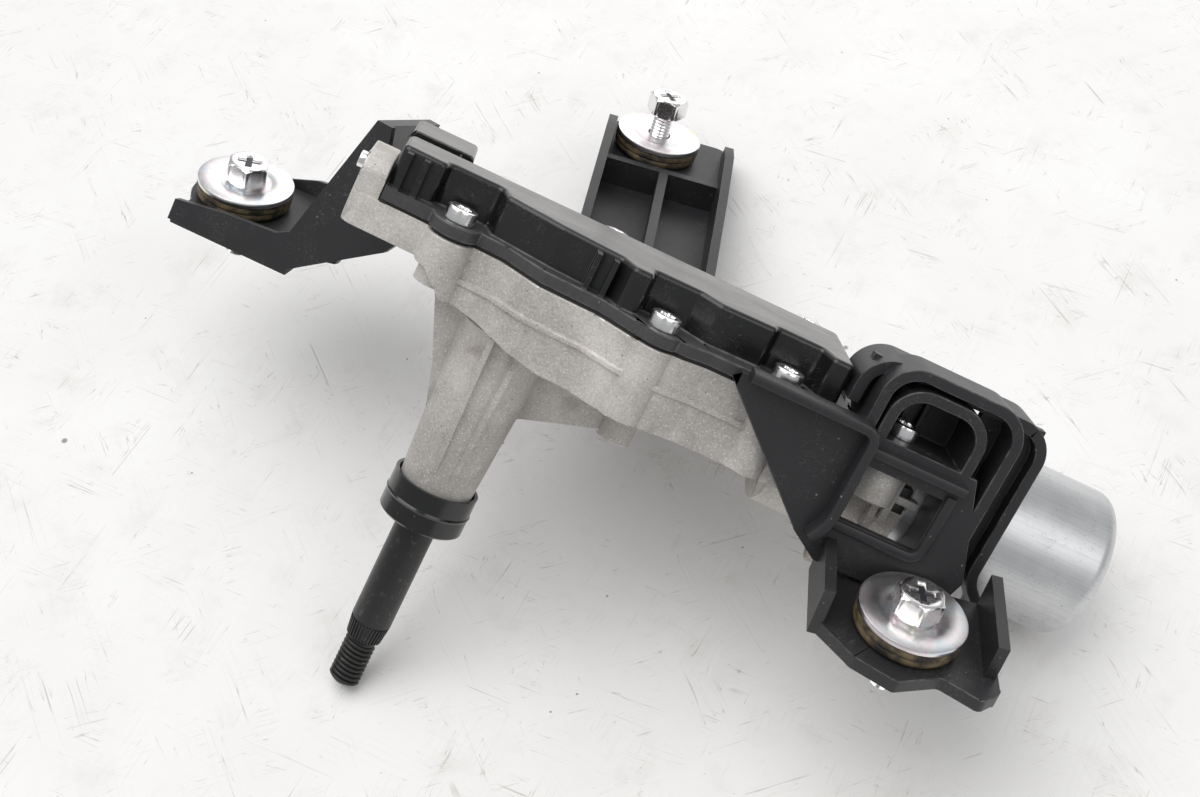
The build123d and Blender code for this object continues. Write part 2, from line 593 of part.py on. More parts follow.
with BuildPart() as park_contacts:
    for finger in range(3):
        finger_y = WHEEL_CENTRE[1] + (finger - 1) * 3.2
        reach = sqrt(PARK_RING_R**2 - ((finger - 1) * 3.2) ** 2)
        with BuildSketch(Plane.XZ.offset(-finger_y)):
            with BuildLine():
                Polyline(
                    (WHEEL_CENTRE[0] + reach + 2.2, BOARD_Z),
                    (WHEEL_CENTRE[0] + reach + 2.6, BOARD_Z),
                    (WHEEL_CENTRE[0] + reach + 2.6, BOARD_Z - 5.0),
                    (WHEEL_CENTRE[0] + reach + 0.6, WHEEL_TOP_Z + 0.1),
                    (WHEEL_CENTRE[0] + reach - 0.4, WHEEL_TOP_Z + 0.1),
                    (WHEEL_CENTRE[0] + reach - 0.4, WHEEL_TOP_Z + 0.4),
                    (WHEEL_CENTRE[0] + reach + 0.3, WHEEL_TOP_Z + 0.4),
                    (WHEEL_CENTRE[0] + reach + 2.2, BOARD_Z - 4.8),
                    close=True,
                )
            make_face()
        extrude(amount=0.8, both=True)
save(park_contacts, "park_contacts")

# Cover screws and the other pan screws
def pan_screw(plane, length):
    """One pan screw on a plane that touches the underside of its head."""
    with BuildPart() as screw:
        with BuildSketch(plane):
            Circle(LUG_SCREW_HEAD_R)
        extrude(amount=LUG_SCREW_HEAD)
        fillet(screw.edges().filter_by(GeomType.CIRCLE).sort_by(SortBy.LENGTH)[-2:], 0.4)
        with BuildSketch(plane):
            Circle(LUG_SCREW_R)
        extrude(amount=-length)
        with BuildSketch(plane.offset(LUG_SCREW_HEAD)):
            Rectangle(3.6, 1.0)
            Rectangle(1.0, 3.6)
        extrude(amount=-1.4, mode=Mode.SUBTRACT)
    return screw.part


with BuildPart() as cover_screws:
    for x, y in COVER_SCREWS:
        add(pan_screw(Plane(origin=(x, y, FLANGE_TOP_Z)), LUG_SCREW_LENGTH - 1))
save(cover_screws, "cover_screws")

with BuildPart() as end_screw:
    end_face = Plane(origin=(END_BLOCK_X, *END_SCREW), x_dir=(0, 1, 0), z_dir=(-1, 0, 0))
    add(pan_screw(end_face, END_BLOCK_THICKNESS - 1))
save(end_screw, "end_screw")

# Spindle group: spindle, pinion, bushes, seal, clip, washers and dust collar
COLLAR_Z = TUBE_MOUTH_Z - CLIP_THICKNESS - WASHER_THICKNESS - 2 * FREE_GAP - COLLAR_FLOOR - 0.3
PINION_TOP_Z = SECTOR_TOP_Z + 0.2
GROOVE_DEPTH = 0.6

with BuildPart() as output_spindle:
    with BuildSketch(Plane.XZ):
        with BuildLine():
            Polyline(
                (0, -CONE_LENGTH - THREAD_LENGTH),
                (THREAD_R - 0.8, -CONE_LENGTH - THREAD_LENGTH),
                (THREAD_R, -CONE_LENGTH - THREAD_LENGTH + 0.8),
                (THREAD_R, -CONE_LENGTH),
                (CONE_TIP_R, -CONE_LENGTH),
                (SPINDLE_R, 0),
                (SPINDLE_R, EXPOSED_LENGTH),
                (JOURNAL_R, EXPOSED_LENGTH),
                (JOURNAL_R, CLIP_Z),
                (JOURNAL_R - GROOVE_DEPTH, CLIP_Z),
                (JOURNAL_R - GROOVE_DEPTH, CLIP_Z + CLIP_THICKNESS),
                (JOURNAL_R, CLIP_Z + CLIP_THICKNESS),
                (JOURNAL_R, PINION_TOP_Z + 0.6),
                (0, PINION_TOP_Z + 0.6),
                close=True,
            )
        make_face()
    revolve(axis=Axis.Z)
save(output_spindle, "output_spindle")


def gear_half_angle(teeth, radius):
    """Half of a tooth's width at a radius, as an angle in radians."""
    pitch_r = GEAR_MODULE * teeth / 2
    base_r = pitch_r * cos(radians(GEAR_PRESSURE_ANGLE))
    pressure = radians(GEAR_PRESSURE_ANGLE)
    local = acos(min(1.0, base_r / radius))
    width = pi / (2 * teeth) + (tan(pressure) - pressure) - (tan(local) - local)
    return width - TOOTH_THINNING / pitch_r


def gear_tooth(teeth, bearing):
    """Face of one involute tooth, pointing at a bearing in degrees."""
    pitch_r = GEAR_MODULE * teeth / 2
    root_r = pitch_r - 1.25 * GEAR_MODULE
    start_r = max(root_r, pitch_r * cos(radians(GEAR_PRESSURE_ANGLE)))
    tip_r = pitch_r + 0.95 * GEAR_MODULE
    middle_r = (start_r + tip_r) / 2

    def point(radius, side, half):
        """Point of the flank at a radius, on one side of the tooth."""
        angle = radians(bearing) + side * half
        return (radius * cos(angle), radius * sin(angle))

    halves = {r: gear_half_angle(teeth, r) for r in (start_r, middle_r, tip_r)}
    with BuildSketch() as tooth:
        with BuildLine():
            left = ThreePointArc(*[point(r, 1, halves[r]) for r in (start_r, middle_r, tip_r)])
            right = ThreePointArc(*[point(r, -1, halves[r]) for r in (tip_r, middle_r, start_r)])
            Line(left @ 1, right @ 0)
            foot_left = point(root_r - 0.6, 1, halves[start_r])
            foot_right = point(root_r - 0.6, -1, halves[start_r])
            Polyline(right @ 1, foot_right, foot_left, left @ 0)
        make_face()
    return tooth.sketch


with BuildPart() as output_pinion:
    with BuildSketch(Plane.XY.offset(SECTOR_Z - FREE_GAP)):
        Circle(GEAR_MODULE * (PINION_TEETH / 2 - 1.25))
        for tooth in range(PINION_TEETH):
            bearing = SECTOR_BEARING + (tooth + 0.5) * 360 / PINION_TEETH - WIPE_ANGLE / 2
            add(gear_tooth(PINION_TEETH, bearing))
        Circle(JOURNAL_R + PRESS_GAP, mode=Mode.SUBTRACT)
    extrude(amount=PINION_TOP_Z - SECTOR_Z + FREE_GAP)
save(output_pinion, "output_pinion")


def ring(plane, inner, outer, height):
    """Plain ring standing on a plane."""
    with BuildPart() as piece:
        with BuildSketch(plane):
            Circle(outer)
            Circle(inner, mode=Mode.SUBTRACT)
        extrude(amount=height)
    return piece


BUSH_R = TUBE_BORE_R - PRESS_GAP
JOURNAL_BORE_R = JOURNAL_R + RUNNING_GAP
save(ring(Plane.XY.offset(TUBE_MOUTH_Z + 0.3), JOURNAL_BORE_R, BUSH_R, SEAL_HEIGHT), "spindle_seal")
lower_bush = ring(Plane.XY.offset(TUBE_MOUTH_Z + SEAL_HEIGHT + 0.6), JOURNAL_BORE_R, BUSH_R, BUSH_LENGTH)
save(lower_bush, "lower_bush")
upper_bush = ring(Plane.XY.offset(UPPER_BUSH_TOP_Z - BUSH_LENGTH), JOURNAL_BORE_R, BUSH_R, BUSH_LENGTH)
save(upper_bush, "upper_bush")
thrust_plane = Plane.XY.offset(UPPER_BUSH_TOP_Z)
save(ring(thrust_plane, JOURNAL_BORE_R, TUBE_BORE_R + 1.0, WASHER_THICKNESS - 0.2), "thrust_washer")
clip_washer_plane = Plane.XY.offset(TUBE_MOUTH_Z - WASHER_THICKNESS)
clip_washer = ring(clip_washer_plane, JOURNAL_BORE_R, CLIP_R + 0.6, WASHER_THICKNESS)
save(clip_washer, "clip_washer")

with BuildPart() as retaining_clip:
    with BuildSketch(Plane.XY.offset(CLIP_Z + 0.05)):
        Circle(CLIP_R)
        Circle(JOURNAL_R - GROOVE_DEPTH + PRESS_GAP, mode=Mode.SUBTRACT)
        with Locations((0, -CLIP_R)):
            Rectangle(5.0, CLIP_R, mode=Mode.SUBTRACT)
    extrude(amount=CLIP_THICKNESS - 0.1)
save(retaining_clip, "retaining_clip")

with BuildPart() as dust_collar:
    with BuildSketch(Plane.XZ):
        with BuildLine():
            Polyline(
                (SPINDLE_R + FREE_GAP, COLLAR_Z),
                (COLLAR_R - 0.5, COLLAR_Z),
                (COLLAR_R, COLLAR_Z + 0.5),
                (COLLAR_R, COLLAR_Z + COLLAR_LENGTH / 2 - 0.5),
                (COLLAR_R + 0.25, COLLAR_Z + COLLAR_LENGTH / 2),
                (COLLAR_R, COLLAR_Z + COLLAR_LENGTH / 2 + 0.5),
                (COLLAR_R, COLLAR_Z + COLLAR_LENGTH),
                (COLLAR_R - COLLAR_WALL, COLLAR_Z + COLLAR_LENGTH),
                (COLLAR_R - COLLAR_WALL, TUBE_MOUTH_Z + COLLAR_GRIP),
                (TUBE_MOUTH_R + 0.2, TUBE_MOUTH_Z + COLLAR_GRIP),
                (TUBE_MOUTH_R + 0.1, COLLAR_Z + COLLAR_FLOOR),
                (SPINDLE_R + FREE_GAP, COLLAR_Z + COLLAR_FLOOR),
                close=True,
            )
        make_face()
    revolve(axis=Axis.Z)
save(dust_collar, "dust_collar")

# Sector lever, its pins and the connecting rod
SECTOR_TEETH_BEARING = SECTOR_BEARING + 180 + LEVER_SWING / 2
with BuildPart() as sector_lever:
    sector_plane = Plane(origin=(SECTOR_PIVOT[0], SECTOR_PIVOT[1], SECTOR_Z))
    with BuildSketch(sector_plane):
        root_r = GEAR_MODULE * (SECTOR_TEETH / 2 - 1.25)
        half_span = (SECTOR_CUT_TEETH + 0.2) * 180 / SECTOR_TEETH
        with BuildLine():
            rim = CenterArc((0, 0), root_r, SECTOR_TEETH_BEARING - half_span, 2 * half_span)
            Line(rim @ 1, (0, 0))
            Line((0, 0), rim @ 0)
        make_face()
        for tooth in range(SECTOR_CUT_TEETH):
            bearing = SECTOR_TEETH_BEARING + (tooth - (SECTOR_CUT_TEETH - 1) / 2) * 360 / SECTOR_TEETH
            add(gear_tooth(SECTOR_TEETH, bearing))
        Circle(SECTOR_PIN_R + 3.4)
        arm = (LINK_PIN[0] - SECTOR_PIVOT[0], LINK_PIN[1] - SECTOR_PIVOT[1])
        with Locations((arm[0] / 2, arm[1] / 2)):
            Rectangle(LEVER_R, 2 * EYE_R - 1.2, rotation=LEVER_PARKED)
        with Locations(arm):
            Circle(EYE_R)
            Circle(LINK_PIN_R + PRESS_GAP, mode=Mode.SUBTRACT)
        Circle(SECTOR_PIN_R + RUNNING_GAP, mode=Mode.SUBTRACT)
    extrude(amount=SECTOR_THICKNESS)
save(sector_lever, "sector_lever")


def headed_pin(centre, bottom, top, radius, head_r, head):
    """Round pin with a flat head on its top end."""
    with BuildPart() as piece:
        with BuildSketch(Plane(origin=(centre[0], centre[1], bottom))):
            Circle(radius)
        extrude(amount=top - bottom)
        with BuildSketch(Plane(origin=(centre[0], centre[1], top))):
            Circle(head_r)
        extrude(amount=head)
    return piece


sector_pin_top = SECTOR_TOP_Z + 0.2
sector_pin = headed_pin(SECTOR_PIVOT, CASE_BOTTOM_Z, sector_pin_top, SECTOR_PIN_R, SECTOR_PIN_R + 1.6, 1.2)
save(sector_pin, "sector_pin")
link_pin = headed_pin(LINK_PIN, SECTOR_Z, ROD_TOP_Z + 0.1, LINK_PIN_R, LINK_PIN_R + 1.3, 0.9)
save(link_pin, "link_pin")
crank_pin = headed_pin(CRANK_PIN, WHEEL_TOP_Z + FREE_GAP, ROD_TOP_Z, LINK_PIN_R, LINK_PIN_R + 1.3, 0.9)
save(crank_pin, "crank_pin")

with BuildPart() as connecting_rod:
    rod_plane = Plane(origin=(LINK_PIN[0], LINK_PIN[1], ROD_Z))
    with BuildSketch(rod_plane):
        far = (CRANK_PIN[0] - LINK_PIN[0], CRANK_PIN[1] - LINK_PIN[1])
        with Locations((far[0] / 2, far[1] / 2)):
            Rectangle(ROD_LENGTH, 6.0, rotation=ROD_ANGLE)
        with Locations((0, 0), far):
            Circle(EYE_R)
        Circle(LINK_PIN_R + RUNNING_GAP, mode=Mode.SUBTRACT)
        with Locations(far):
            Circle(LINK_PIN_R + PRESS_GAP, mode=Mode.SUBTRACT)
    extrude(amount=ROD_THICKNESS)
save(connecting_rod, "connecting_rod")

# Worm wheel with leaning teeth, its park ring and axle
WHEEL_LEAN = degrees(WHEEL_FACE * WHEEL_MODULE / (2 * WORM_R) / WHEEL_R)


def wheel_outline(plane, turn):
    """Toothed outline of the worm wheel on a plane, turned by an angle in degrees."""
    root_r = WHEEL_R - 1.2 * WHEEL_MODULE
    tip_r = WHEEL_R + WHEEL_MODULE
    pitch = 360 / WHEEL_TEETH
    root_half = 0.25 * pitch + degrees(1.2 * WHEEL_MODULE * tan(radians(20)) / WHEEL_R) - WHEEL_TOOTH_THINNING
    tip_half = 0.25 * pitch - degrees(WHEEL_MODULE * tan(radians(20)) / WHEEL_R) - WHEEL_TOOTH_THINNING
    corners = []
    for tooth in range(WHEEL_TEETH):
        centre = turn + tooth * pitch
        flank = ((root_r, -root_half), (tip_r, -tip_half), (tip_r, tip_half), (root_r, root_half))
        for radius, shift in flank:
            angle = radians(centre + shift)
            corners.append((radius * cos(angle), radius * sin(angle)))
    with BuildSketch(plane) as sketch:
        with BuildLine():
            Polyline(*corners, close=True)
        make_face()
    return sketch.sketch


with BuildPart() as worm_wheel:
    add(wheel_outline(Plane(origin=(*WHEEL_CENTRE, WHEEL_BOTTOM_Z)), WHEEL_PHASE - WHEEL_LEAN / 2))
    add(wheel_outline(Plane(origin=(*WHEEL_CENTRE, WHEEL_TOP_Z)), WHEEL_PHASE + WHEEL_LEAN / 2))
    loft(ruled=True)
    # Web below, with ribs, and the recesses on top
    with BuildSketch(Plane(origin=(*WHEEL_CENTRE, WHEEL_BOTTOM_Z))):
        Circle(WHEEL_R - 4.0)
        Circle(WHEEL_HUB_R, mode=Mode.SUBTRACT)
        with PolarLocations((WHEEL_R - 4.0 + WHEEL_HUB_R) / 2, 6, rotate=True):
            Rectangle(WHEEL_R, 1.6, mode=Mode.SUBTRACT)
    extrude(amount=2.4, mode=Mode.SUBTRACT)
    with BuildSketch(Plane(origin=(*WHEEL_CENTRE, WHEEL_TOP_Z - PARK_RING_THICKNESS))):
        Circle(PARK_RING_R + 2.0)
        Circle(PARK_RING_R - 2.0, mode=Mode.SUBTRACT)
    extrude(amount=PARK_RING_THICKNESS, mode=Mode.SUBTRACT)
    with BuildSketch(Plane(origin=(*WHEEL_CENTRE, WHEEL_TOP_Z - 2.0))):
        Circle(AXLE_R + 2.0)
    extrude(amount=2.0, mode=Mode.SUBTRACT)
    with BuildSketch(Plane(origin=(*WHEEL_CENTRE, WHEEL_BOTTOM_Z))):
        Circle(AXLE_R + RUNNING_GAP)
    extrude(amount=WHEEL_FACE, mode=Mode.SUBTRACT)
    with BuildSketch(Plane(origin=(*CRANK_PIN, WHEEL_TOP_Z - 3.6))):
        Circle(LINK_PIN_R + RUNNING_GAP)
    extrude(amount=3.6, mode=Mode.SUBTRACT)
save(worm_wheel, "worm_wheel")

park_ring = ring(
    Plane(origin=(*WHEEL_CENTRE, WHEEL_TOP_Z - PARK_RING_THICKNESS)),
    PARK_RING_R - 2.0 + PRESS_GAP,
    PARK_RING_R + 2.0 - PRESS_GAP,
    PARK_RING_THICKNESS,
)
save(park_ring, "park_ring")
wheel_axle = headed_pin(WHEEL_CENTRE, CASE_BOTTOM_Z, WHEEL_TOP_Z - 1.7, AXLE_R, AXLE_R + 1.6, 1.3)
save(wheel_axle, "wheel_axle")

# Armature: shaft with the worm, core, windings and commutator
SHAFT_LEFT_X = WORM_BUSH_X + 0.5
SHAFT_RIGHT_X = CAN_END_X - CAN_WALL - 1.0
WORM_X = WHEEL_CENTRE[0] - WORM_LENGTH / 2
WORM_PITCH = pi * WHEEL_MODULE
WORM_ROOT_R = WORM_R - 1.2 * WHEEL_MODULE
JOURNAL_RIGHT_X = WORM_BUSH_X + WORM_BUSH_LENGTH + 0.4

with BuildPart() as worm_shaft:
    with BuildSketch(Plane(origin=(0, 0, WORM_AXIS_Z), x_dir=(1, 0, 0), z_dir=(0, -1, 0))):
        with BuildLine():
            Polyline(
                (SHAFT_LEFT_X, 0),
                (SHAFT_LEFT_X, END_SHAFT_R),
                (JOURNAL_RIGHT_X, END_SHAFT_R),
                (JOURNAL_RIGHT_X, ARMATURE_SHAFT_R),
                (WORM_X - 1.5, ARMATURE_SHAFT_R),
                (WORM_X, WORM_ROOT_R),
                (WORM_X + WORM_LENGTH, WORM_ROOT_R),
                (WORM_X + WORM_LENGTH + 1.5, ARMATURE_SHAFT_R),
                (SHAFT_RIGHT_X, ARMATURE_SHAFT_R),
                (SHAFT_RIGHT_X, 0),
                close=True,
            )
        make_face()
    revolve(axis=Axis((0, 0, WORM_AXIS_Z), (1, 0, 0)))
    # Thread: a trapezoid swept on a helix, with a crest in the wheel's middle gap
    with BuildLine() as thread_path:
        thread_start = (WHEEL_CENTRE[0] - 2.75 * WORM_PITCH, 0, WORM_AXIS_Z)
        thread_run = WORM_LENGTH - 1.2 * WORM_PITCH
        Helix(WORM_PITCH, thread_run, WORM_ROOT_R - 0.2, center=thread_start, direction=(1, 0, 0))
    with BuildSketch(Plane(thread_path.line @ 0, x_dir=(1, 0, 0), z_dir=thread_path.line % 0)):
        foot = 0.25 * WORM_PITCH + (WORM_R - WORM_ROOT_R + 0.2) * tan(radians(20)) - WORM_THINNING
        crest = 0.25 * WORM_PITCH - WHEEL_MODULE * tan(radians(20)) - WORM_THINNING
        depth = WORM_TIP_R - WORM_ROOT_R + 0.2
        with BuildLine():
            Polyline((-foot, 0), (foot, 0), (crest, depth), (-crest, depth), close=True)
        make_face()
    sweep(path=thread_path.line, is_frenet=True)
save(worm_shaft, "worm_shaft")

SLOT_WIDTH = 3.0
SLOT_DEPTH = 6.0
with BuildPart() as armature_core:
    with BuildSketch(motor_plane(CORE_X)):
        Circle(CORE_R)
        with PolarLocations(CORE_R - SLOT_DEPTH / 2, SLOTS):
            Rectangle(SLOT_DEPTH, SLOT_WIDTH, mode=Mode.SUBTRACT)
        Circle(ARMATURE_SHAFT_R + PRESS_GAP, mode=Mode.SUBTRACT)
    extrude(amount=CORE_LENGTH)
save(armature_core, "armature_core")

with BuildPart() as armature_windings:
    with BuildSketch(motor_plane(CORE_X)):
        with PolarLocations(CORE_R - SLOT_DEPTH / 2, SLOTS):
            Rectangle(SLOT_DEPTH - 1.6, SLOT_WIDTH - 0.2)
    extrude(amount=CORE_LENGTH)
    for end_x, way in ((CORE_X, -1), (CORE_X + CORE_LENGTH, 1)):
        with BuildSketch(motor_plane(end_x)):
            Circle(CORE_R - 0.8)
            Circle(ARMATURE_SHAFT_R + 2.0, mode=Mode.SUBTRACT)
        extrude(amount=5.0 * way)
    ends = armature_windings.edges().filter_by(GeomType.CIRCLE).sort_by(Axis.X)
    fillet(ends[:1] + ends[-1:], 1.4)
save(armature_windings, "armature_windings")

with BuildPart() as commutator:
    with BuildSketch(motor_plane(COMMUTATOR_X)):
        Circle(COMMUTATOR_R)
        with PolarLocations(COMMUTATOR_R, SLOTS):
            Rectangle(1.6, 0.6, mode=Mode.SUBTRACT)
        Circle(ARMATURE_SHAFT_R + PRESS_GAP, mode=Mode.SUBTRACT)
    extrude(amount=COMMUTATOR_LENGTH)
    with BuildSketch(motor_plane(COMMUTATOR_X + COMMUTATOR_LENGTH)):
        Circle(COMMUTATOR_R + 1.0)
        Circle(ARMATURE_SHAFT_R + PRESS_GAP, mode=Mode.SUBTRACT)
    extrude(amount=1.6)
save(commutator, "commutator")

# Motor can, magnets, bushes, brush gear and can screws
REAR_BUSH_R = 5.0
REAR_BUSH_LENGTH = 6.0
EAR_THICKNESS = 1.8
with BuildPart() as motor_can:
    with BuildSketch(motor_plane(CAN_X)):
        Circle(CAN_R)
    extrude(amount=CAN_END_X - CAN_X)
    fillet(motor_can.faces().sort_by(Axis.X)[-1].edges(), CAN_EDGE_R)
    with BuildSketch(motor_plane(CAN_X)):
        Circle(CAN_R - CAN_WALL)
    extrude(amount=CAN_END_X - CAN_WALL - CAN_X, mode=Mode.SUBTRACT)
    with BuildSketch(motor_plane(CAN_END_X - CAN_WALL)):
        Circle(REAR_BUSH_R + 1.6)
        Circle(REAR_BUSH_R + PRESS_GAP, mode=Mode.SUBTRACT)
    extrude(amount=-REAR_BUSH_LENGTH)
    with BuildSketch(motor_plane(CAN_X)):
        for way in (-1, 1):
            with Locations((0, way * EAR_REACH)):
                Circle(EAR_R)
            with Locations((0, way * (CAN_R + EAR_REACH) / 2 - way)):
                Rectangle(2 * EAR_R, EAR_REACH - CAN_R + 2)
        Circle(CAN_R - CAN_WALL, mode=Mode.SUBTRACT)
        with Locations((0, EAR_REACH), (0, -EAR_REACH)):
            Circle(LUG_SCREW_R + PRESS_GAP, mode=Mode.SUBTRACT)
    extrude(amount=EAR_THICKNESS)
save(motor_can, "motor_can")

MAGNET_R = CAN_R - CAN_WALL - PRESS_GAP
with BuildPart() as motor_magnets:
    with BuildSketch(motor_plane(CORE_X - 1)):
        Circle(MAGNET_R)
        Circle(CORE_R + AIR_GAP, mode=Mode.SUBTRACT)
        Rectangle(2 * MAGNET_R * sin(radians(28)), 2 * MAGNET_R, mode=Mode.SUBTRACT)
    extrude(amount=CORE_LENGTH + 2)
save(motor_magnets, "motor_magnets")

worm_end_bush = ring(motor_plane(WORM_BUSH_X), END_SHAFT_R + RUNNING_GAP, WORM_BUSH_R, WORM_BUSH_LENGTH)
save(worm_end_bush, "worm_end_bush")
front_bush_plane = motor_plane(BELL_BACK_X - FRONT_BUSH_LENGTH)
armature_bore_r = ARMATURE_SHAFT_R + RUNNING_GAP
front_bush = ring(front_bush_plane, armature_bore_r, FRONT_BUSH_R, FRONT_BUSH_LENGTH)
save(front_bush, "front_bush")
rear_bush_x = CAN_END_X - CAN_WALL - REAR_BUSH_LENGTH
rear_bush = ring(motor_plane(rear_bush_x), armature_bore_r, REAR_BUSH_R, REAR_BUSH_LENGTH - 0.3)
save(rear_bush, "rear_bush")

BRUSH_X = COMMUTATOR_X + COMMUTATOR_LENGTH / 2
BRUSH_INNER = COMMUTATOR_R + 0.15
BRUSH_BOX_WALL = 1.0
BRUSH_PLATE_R = CAN_R - 1.0 - BELL_WALL - 0.6
BRUSH_PLATE_X = BRUSH_X + BRUSH_SIZE[0] / 2 + BRUSH_BOX_WALL
BRUSH_PLATE_THICKNESS = 1.8
SPRING_LENGTH = 2.2
with BuildPart() as brush_plate:
    with BuildSketch(motor_plane(BRUSH_PLATE_X)):
        Circle(BRUSH_PLATE_R)
        Circle(COMMUTATOR_R + 1.6, mode=Mode.SUBTRACT)
    extrude(amount=BRUSH_PLATE_THICKNESS)
    with BuildSketch(motor_plane(BRUSH_PLATE_X)):
        for way in (-1, 1):
            with Locations((way * (BRUSH_INNER + 1.2 + (BRUSH_SIZE[1] + SPRING_LENGTH) / 2), 0)):
                Rectangle(BRUSH_SIZE[1] + SPRING_LENGTH - 1.2, BRUSH_SIZE[2] + 2 * BRUSH_BOX_WALL)
    extrude(amount=-BRUSH_SIZE[0] - 2 * BRUSH_BOX_WALL)
    with BuildSketch(motor_plane(BRUSH_PLATE_X - BRUSH_BOX_WALL)):
        Rectangle(2 * (BRUSH_INNER + BRUSH_SIZE[1] + SPRING_LENGTH), BRUSH_SIZE[2] + 2 * PRESS_GAP)
    extrude(amount=-BRUSH_SIZE[0] - PRESS_GAP, mode=Mode.SUBTRACT)
save(brush_plate, "brush_plate")

with BuildPart() as carbon_brushes:
    with BuildSketch(motor_plane(BRUSH_X - BRUSH_SIZE[0] / 2)):
        for way in (-1, 1):
            with Locations((way * (BRUSH_INNER + BRUSH_SIZE[1] / 2), 0)):
                Rectangle(BRUSH_SIZE[1], BRUSH_SIZE[2])
    extrude(amount=BRUSH_SIZE[0])
save(carbon_brushes, "carbon_brushes")

with BuildPart() as brush_springs:
    for way in (-1, 1):
        spring_y = way * (BRUSH_INNER + BRUSH_SIZE[1])
        with BuildSketch(Plane(origin=(BRUSH_X, spring_y, WORM_AXIS_Z), x_dir=(1, 0, 0), z_dir=(0, way, 0))):
            Circle(1.6)
            Circle(1.1, mode=Mode.SUBTRACT)
        extrude(amount=SPRING_LENGTH - 0.6)
save(brush_springs, "brush_springs")

with BuildPart() as can_screws:
    for way in (-1, 1):
        ear_face = (CAN_X + EAR_THICKNESS, 0, WORM_AXIS_Z + way * EAR_REACH)
        ear_plane = Plane(origin=ear_face, x_dir=(0, 1, 0), z_dir=(1, 0, 0))
        add(pan_screw(ear_plane, LUG_SCREW_LENGTH - 2))
save(can_screws, "can_screws")

# Mounting feet: planes square to the bolts
FOOT_AXIS = Vector(-tan(radians(FEET_ROLL)), -tan(radians(FEET_PITCH)), 1).normalized()
FOOT_ACROSS = (Vector(1, 0, 0) - FOOT_AXIS * FOOT_AXIS.X).normalized()
FEET = {"left": LEFT_FOOT, "rear": REAR_FOOT, "front": FRONT_FOOT}
PAD_TOP = -FOOT_WASHER_THICKNESS - GROMMET_FLANGE


def foot_plane(foot, height=0.0):
    """Plane square to a foot's bolt, a height above its washer's top face."""
    return Plane(origin=Vector(*foot) + FOOT_AXIS * height, x_dir=FOOT_ACROSS, z_dir=FOOT_AXIS)


def foot_ring(foot, top, bottom, inner, outer):
    """Ring round a foot's bolt between two heights below its washer's top."""
    with BuildPart() as piece:
        with BuildSketch(foot_plane(foot, bottom)):
            Circle(outer)
            Circle(inner, mode=Mode.SUBTRACT)
        extrude(amount=top - bottom)
    return piece.part


GROMMET_LENGTH = 2 * GROMMET_FLANGE + PAD_THICKNESS
with BuildPart() as mount_washers:
    for foot in FEET.values():
        add(foot_ring(foot, 0, -FOOT_WASHER_THICKNESS, SLEEVE_BORE_R, FOOT_WASHER_R))
    fillet(mount_washers.edges().filter_by(GeomType.CIRCLE).group_by(SortBy.LENGTH)[-1], 0.4)
save(mount_washers, "mount_washers")

with BuildPart() as mount_sleeves:
    for foot in FEET.values():
        bottom = -FOOT_WASHER_THICKNESS - GROMMET_LENGTH - 0.6
        add(foot_ring(foot, -FOOT_WASHER_THICKNESS, bottom, SLEEVE_BORE_R, SLEEVE_R))
save(mount_sleeves, "mount_sleeves")

with BuildPart() as mount_grommets:
    for foot in FEET.values():
        upper = -FOOT_WASHER_THICKNESS
        lower = upper - GROMMET_LENGTH
        add(foot_ring(foot, upper, upper - GROMMET_FLANGE, SLEEVE_R + PRESS_GAP, GROMMET_FLANGE_R))
        neck_top = upper - GROMMET_FLANGE
        neck_bottom = lower + GROMMET_FLANGE
        add(foot_ring(foot, neck_top, neck_bottom, SLEEVE_R + PRESS_GAP, GROMMET_NECK_R))
        add(foot_ring(foot, lower + GROMMET_FLANGE, lower, SLEEVE_R + PRESS_GAP, GROMMET_FLANGE_R - 0.6))
    fillet(mount_grommets.edges().filter_by(GeomType.CIRCLE).group_by(SortBy.LENGTH)[-1], 1.0)
save(mount_grommets, "mount_grommets")

for name, foot in FEET.items():
    lift = REAR_BOLT_LIFT if name == "rear" else 0.0
    with BuildPart() as bolt:
        with BuildSketch(foot_plane(foot, lift)):
            RegularPolygon(BOLT_HEAD_AF / 2, 6, major_radius=False, rotation=BOLT_TURN[name])
        extrude(amount=BOLT_HEAD_HEIGHT)
        with BuildSketch(foot_plane(foot, lift + BOLT_HEAD_HEIGHT)):
            Circle(BOLT_HEAD_AF / 2 + 0.15)
        extrude(amount=-BOLT_HEAD_HEIGHT, taper=-30, mode=Mode.INTERSECT)
        with BuildSketch(foot_plane(foot, lift + BOLT_HEAD_HEIGHT)):
            Rectangle(5.6, 1.4, rotation=BOLT_TURN[name])
            Rectangle(1.4, 5.6, rotation=BOLT_TURN[name])
        extrude(amount=-1.8, mode=Mode.SUBTRACT)
        with BuildSketch(foot_plane(foot, lift)):
            Circle(BOLT_R)
        extrude(amount=-BOLT_LENGTH)
        if not lift:
            with BuildSketch(foot_plane(foot)):
                Circle(BOLT_R)
                Circle(BOLT_NECK_R, mode=Mode.SUBTRACT)
            extrude(amount=BOLT_THREAD_LENGTH - BOLT_LENGTH, mode=Mode.SUBTRACT)
    save(bolt, f"{name}_bolt")

